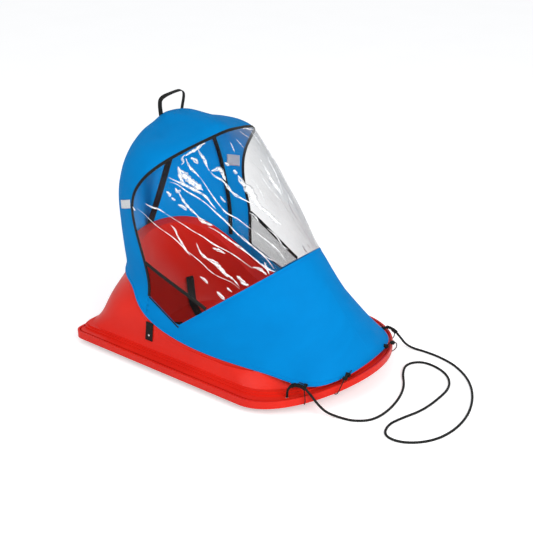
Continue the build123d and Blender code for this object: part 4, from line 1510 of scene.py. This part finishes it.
# %% Fold lines of the window
# each fold: its width, then points near the film, all in millimetres; y counts outwards from the middle
FOLDS = [
    (9, (-90, 84, 648), (-93, 96, 646), (-95, 115, 637), (-102, 136, 630), (-107, 152, 622)),
    (6, (-108, 149, 626), (-108, 163, 615), (-103, 164, 609), (-105, 173, 603)),
    (8, (-94, 113, 637), (-83, 116, 624), (-70, 116, 612), (-59, 120, 598), (-46, 122, 584)),
    (12, (-44, 118, 584), (-38, 107, 585), (-33, 96, 586), (-26, 94, 580), (-18, 97, 570), (-7, 99, 556)),
    (7, (-44, 121, 582), (-30, 117, 570), (-16, 108, 561), (-3, 104, 549), (12, 102, 534), (29, 94, 519),
     (48, 80, 506), (71, 63, 489)),
    (7, (-103, 154, 617), (-93, 158, 606), (-81, 158, 593), (-66, 154, 581), (-56, 152, 571)),
    (3.5, (-57, 151, 573), (-39, 150, 554), (-15, 149, 527), (8, 146, 503), (28, 142, 485), (50, 129, 471),
     (72, 118, 454), (90, 109, 440)),
    (4, (90, 109, 440), (112, 97, 422), (133, 85, 403), (154, 75, 383), (180, 72, 354)),
    (3, (181, 73, 352), (167, 89, 356), (145, 107, 368), (123, 118, 386), (100, 128, 405), (76, 136, 428)),
    (10, (-109, 180, 600), (-98, 186, 583), (-86, 190, 565), (-80, 188, 561)),
    (20, (-106, 182, 595), (-87, 179, 579), (-70, 175, 565), (-51, 167, 551), (-37, 161, 541)),
    (7, (-120, 209, 575), (-100, 201, 566), (-86, 194, 560), (-64, 183, 549), (-43, 171, 537),
     (-24, 163, 524), (-11, 161, 510), (5, 158, 495)),
    (5, (-114, 213, 564), (-94, 203, 558), (-71, 194, 542), (-49, 183, 529), (-26, 173, 514),
     (-7, 166, 499), (10, 161, 484), (30, 154, 468), (55, 147, 444), (82, 137, 419), (108, 125, 397),
     (135, 114, 374), (166, 106, 340)),
    (8, (-95, 209, 550), (-87, 209, 540), (-82, 202, 545)),
    (7, (-85, 208, 539), (-70, 208, 519), (-53, 204, 500), (-29, 196, 480)),
    (10, (-33, 197, 483), (-21, 194, 470), (-7, 188, 461), (10, 179, 455)),
    (5, (0, 188, 452), (22, 177, 441), (48, 166, 422), (74, 153, 403), (100, 141, 383), (128, 131, 361),
     (159, 119, 334)),
    (5, (-169, 254, 501), (-149, 251, 494), (-128, 246, 491), (-107, 241, 482)),
    (3, (-107, 241, 482), (-83, 232, 468), (-60, 223, 455), (-33, 212, 438), (-6, 201, 424), (22, 191, 406),
     (43, 180, 395), (69, 167, 380), (96, 155, 361), (123, 145, 343)),
    (9, (-221, 252, 479), (-210, 253, 469)),
    (2.5, (-202, 255, 479), (-172, 254, 466), (-139, 250, 444), (-112, 244, 429), (-83, 236, 412),
     (-53, 228, 386), (-28, 220, 368), (-4, 213, 350), (17, 206, 331), (45, 196, 315), (76, 184, 304),
     (102, 177, 286)),
    (6, (-92, 238, 450), (-80, 234, 438), (-74, 232, 422), (-62, 229, 402), (-49, 227, 382),
     (-36, 223, 367)),
    (6, (-22, 213, 407), (-15, 213, 391), (-5, 210, 375), (15, 203, 360), (31, 197, 349)),
    (12, (11, 204, 366), (27, 198, 357), (46, 191, 338), (65, 186, 317)),
    (5, (31, 197, 348), (51, 190, 330), (75, 182, 316), (99, 177, 294)),
    (12, (87, 174, 323), (99, 171, 314), (110, 168, 303), (121, 163, 300)),
    (12, (40, 204, 273), (53, 201, 261), (64, 199, 252)),
    (8, (-9, 218, 310), (6, 213, 301), (14, 211, 291)),
    (7, (66, 191, 288), (73, 190, 282), (82, 188, 277)),
    (5, (0, 133, 525), (8, 133, 516), (17, 130, 509)),
    (9, (-114, 226, 540), (-103, 224, 531), (-103, 227, 526)),
    (7, (-98, 224, 526), (-93, 223, 522), (-87, 220, 518)),
    (8, (-79, 220, 508), (-66, 213, 502), (-56, 210, 493)),
    (12, (-95, 144, 618), (-85, 138, 612), (-74, 138, 602)),
    (8, (19, 194, 396), (38, 185, 389), (52, 178, 381)),
    (7, (120, 145, 348), (136, 135, 343), (155, 127, 327)),
    (6, (135, 127, 357), (154, 119, 342), (170, 107, 333)),
    (5, (141, 119, 360), (150, 121, 345), (160, 121, 328)),
    (26, (2, 57, 564), (18, 58, 546), (35, 53, 529), (50, 53, 513), (63, 56, 499), (76, 50, 487)),
    (15, (67, 62, 493), (85, 48, 478), (104, 39, 460), (117, 33, 446), (128, 24, 435)),
    (13, (-11, 60, 578), (-7, 59, 573), (-1, 58, 567)),
    (10, (-33, 73, 597), (-29, 68, 594), (-23, 65, 588)),
    (6, (67, 92, 479), (81, 83, 468), (93, 82, 455)),
    (4, (113, 71, 437), (134, 59, 417), (147, 57, 402), (161, 54, 386), (169, 45, 379)),
    (3, (21, -22, 550), (44, -19, 525), (62, -23, 506), (88, -30, 478)),
    (3, (-9, -54, 578), (10, -53, 556), (43, -42, 522), (71, -45, 492)),
    (4, (-59, 14, 638), (-50, 17, 628), (-38, 22, 614)),
    (4, (-81, -58, 651), (-69, -64, 638), (-62, -78, 625)),
]

print(len(FOLDS), "folds, up to", max(fold[0] for fold in FOLDS), "mm wide")

# %% Ridges along the folds
FOLD_STEP = 0.0035


def fold_ridge(name, folds, surface, side, strength):
    """All the folds of one side as one mesh of pointed ridges pressed to the film."""
    tree = BVHTree.FromPolygons([vertex.co[:] for vertex in surface.data.vertices],
                                [polygon.vertices[:] for polygon in surface.data.polygons])
    points, faces, uvs = [], [], []
    for number, (width, *route) in enumerate(folds):
        route = np.array(mirrored(route, side), float) / 1000
        along = distances(route)
        count = max(6, round(along[-1] / FOLD_STEP))
        line = smooth_through(along, route)(np.linspace(0, along[-1], count))
        ahead = unit(np.gradient(line, axis=0))
        base = len(points)
        for i, place in enumerate(line):
            share = i / (count - 1)
            near, normal, _, _ = tree.find_nearest(Vector(place))
            if normal.y * side < 0 and abs(near.y) > 0.03:
                normal = -normal
            swell = noise.noise((share * 9.0 + number * 3.7, number * 1.3, 0.0))
            half = 0.0005 * width * strength * (sin(pi * share) ** 0.6) * (1.0 + 0.75 * swell) + 0.00005
            across = Vector(ahead[i]).cross(normal).normalized()
            points += [near - across * half + normal * 0.0002, near + normal * (0.0004 + 0.30 * half),
                       near + across * half + normal * 0.0002]
        faces += tube_faces(count, 3, first=base)
        for i in range(count - 1):
            here, there = i * FOLD_STEP, (i + 1) * FOLD_STEP
            for low, high in ((0, 0.002), (0.002, 0.004), (0.004, 0)):
                uvs += [(here, low), (here, high), (there, high), (there, low)]
        end = base + 3 * count
        faces += [(base + 2, base + 1, base), (end - 3, end - 2, end - 1)]
        uvs += [(0, 0)] * 6
    made = make_object(name, points, faces, uvs)
    turn_outward(made)
    return made


near_fold_highlights = fold_ridge("window_fold_highlights_right", FOLDS, window, -1, 1.0)
far_fold_highlights = fold_ridge("window_fold_highlights_left", FOLDS[::2], window, 1, 0.8)
# each ridge carries a painted highlight: white film with a faint glow
for piece in (near_fold_highlights, far_fold_highlights):
    dress(piece, PAINTED_FOLD_HIGHLIGHT, "clear_vinyl")
print("folds:", [len(piece.data.polygons) for piece in (near_fold_highlights, far_fold_highlights)], "faces")

# %% [markdown]
# ## The hull
#
# The hull keeps its shape from the frame, because a moulding is exactly what its drawing says.
# Its upper edge runs inside the canopy.  Along the sides that edge is a thin upright lip which
# closes the gap under the cloth, and it is made here as one more strip, in the hull's plastic.

# %% The hull's finish and its side lips
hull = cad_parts["hull"]
give_material(hull, HULL_PLASTIC)
CREST = side_curve([(-400, 305), (-340, 285), (-295, 250), (-249, 200), (-205, 152), (-140, 108), (-40, 90),
                    (200, 90), (445, 100)])

LIP_BACK, LIP_FRONT = -0.236, 0.19


def crest_z(x):
    """The height of the hull's upper edge at x."""
    return np.interp(x, CREST[:, 0], CREST[:, 1])


def lip_line(side):
    """The lip's middle line on one side, halfway between the hem and the hull's upper edge."""
    def beside_the_well(points):
        return (points[:, 1] * side > 0) & (points[:, 0] > LIP_BACK) & (points[:, 0] < LIP_FRONT)

    line = skin_line(lambda x, z: z - 0.5 * (hem_z(x) + crest_z(x)), 0.075, 0.24, along_x, beside_the_well)
    return spaced(line, 0.005)


for side, name in SIDES:
    both = lip_line(side)
    tall = np.clip(hem_z(both[:, 0]) - crest_z(both[:, 0]), 0.0, None) + 0.012
    lip = strip(f"hull_lip_{name}", both, tall, thick=0.0026, lift=-0.0046, step=0.005)
    dress(lip, HULL_PLASTIC, "hull_plastic")
print("hull:", len(hull.data.polygons), "faces; its lips stand", round(float(tall.max()), 3), "m tall")

# %% [markdown]
# ## Floor, light and background
#
# The floor is pale and plain, and the background is white, as in a shop picture.  White comes
# from what the camera sees of the floor and the sky, not from more light, so the colours of
# the sled stay as they are written.  One wide lamp shapes the folds, one fills from the front,
# and a very weak one under the roof does what daylight does through thin cloth.

# %% Floor and sky
FLOOR_GREY = (0.86, 0.86, 0.86, 1.0)
FLOOR_REACH = 30.0


def studio_floor():
    """A wide plain floor that the camera sees as white, with the shadow left on it."""
    corners = [(x * FLOOR_REACH, y * FLOOR_REACH, 0) for x, y in ((-1, -1), (1, -1), (1, 1), (-1, 1))]
    made = make_object("studio_floor", corners, [(0, 1, 2, 3)], smooth=False)
    material, tree, shader, where = start_material("studio_floor", 0.9, "Object")
    grain = cloud(tree, where, 3.0, 3.0)
    path = tree.nodes.new("ShaderNodeLightPath")
    seen = compute(tree, "MULTIPLY", path.outputs["Is Camera Ray"], ramp(tree, grain, 0.3, 0.7, 0.39, 0.40))
    fill(tree, shader, Base_Color=FLOOR_GREY, Specular_IOR_Level=0.0, Emission_Color=WHITE,
         Emission_Strength=seen)
    give_material(made, material)
    return made


def studio_world():
    """Soft light from all round, and a white sky behind for the camera."""
    world = bpy.data.worlds.new("studio_sky")
    world.use_nodes = True
    tree = world.node_tree
    sky = tree.nodes["Background"]
    sky.inputs["Color"].default_value = (0.97, 0.98, 1.0, 1.0)
    path = tree.nodes.new("ShaderNodeLightPath")
    seen = compute(tree, "MAXIMUM", path.outputs["Is Camera Ray"], path.outputs["Is Transmission Ray"])
    feed(tree, sky.inputs["Strength"], ramp(tree, seen, 0.0, 1.0, 0.66, 1.0))
    bpy.context.scene.world = world


studio_floor()
studio_world()
print("the floor reaches", FLOOR_REACH, "m each way")


# %% Lamps
def soft_lamp(name, place, target, size, watts):
    """A square lamp at a place, turned to a target."""
    data = bpy.data.lights.new(name, "AREA")
    data.size = size
    data.energy = watts
    made = add_object(name, data)
    made.location = place
    made.rotation_mode = "QUATERNION"
    made.rotation_quaternion = (Vector(target) - Vector(place)).to_track_quat("-Z", "Y")
    return made


soft_lamp("key_lamp", (-0.2, -3.0, 2.2), (0, 0, 0.2), size=2.2, watts=34)
soft_lamp("fill_lamp", (2.7, -0.9, 1.9), (-0.1, 0, 0.3), size=1.8, watts=62)
cabin = soft_lamp("cabin_lamp", (-0.04, 0, 0.50), (-0.30, 0, 0.22), size=0.2, watts=0.45)
cabin.visible_camera = False
cabin.visible_glossy = False
bpy.context.scene.view_settings.view_transform = "Standard"
print("lamps:", [light.name for light in bpy.data.lights])
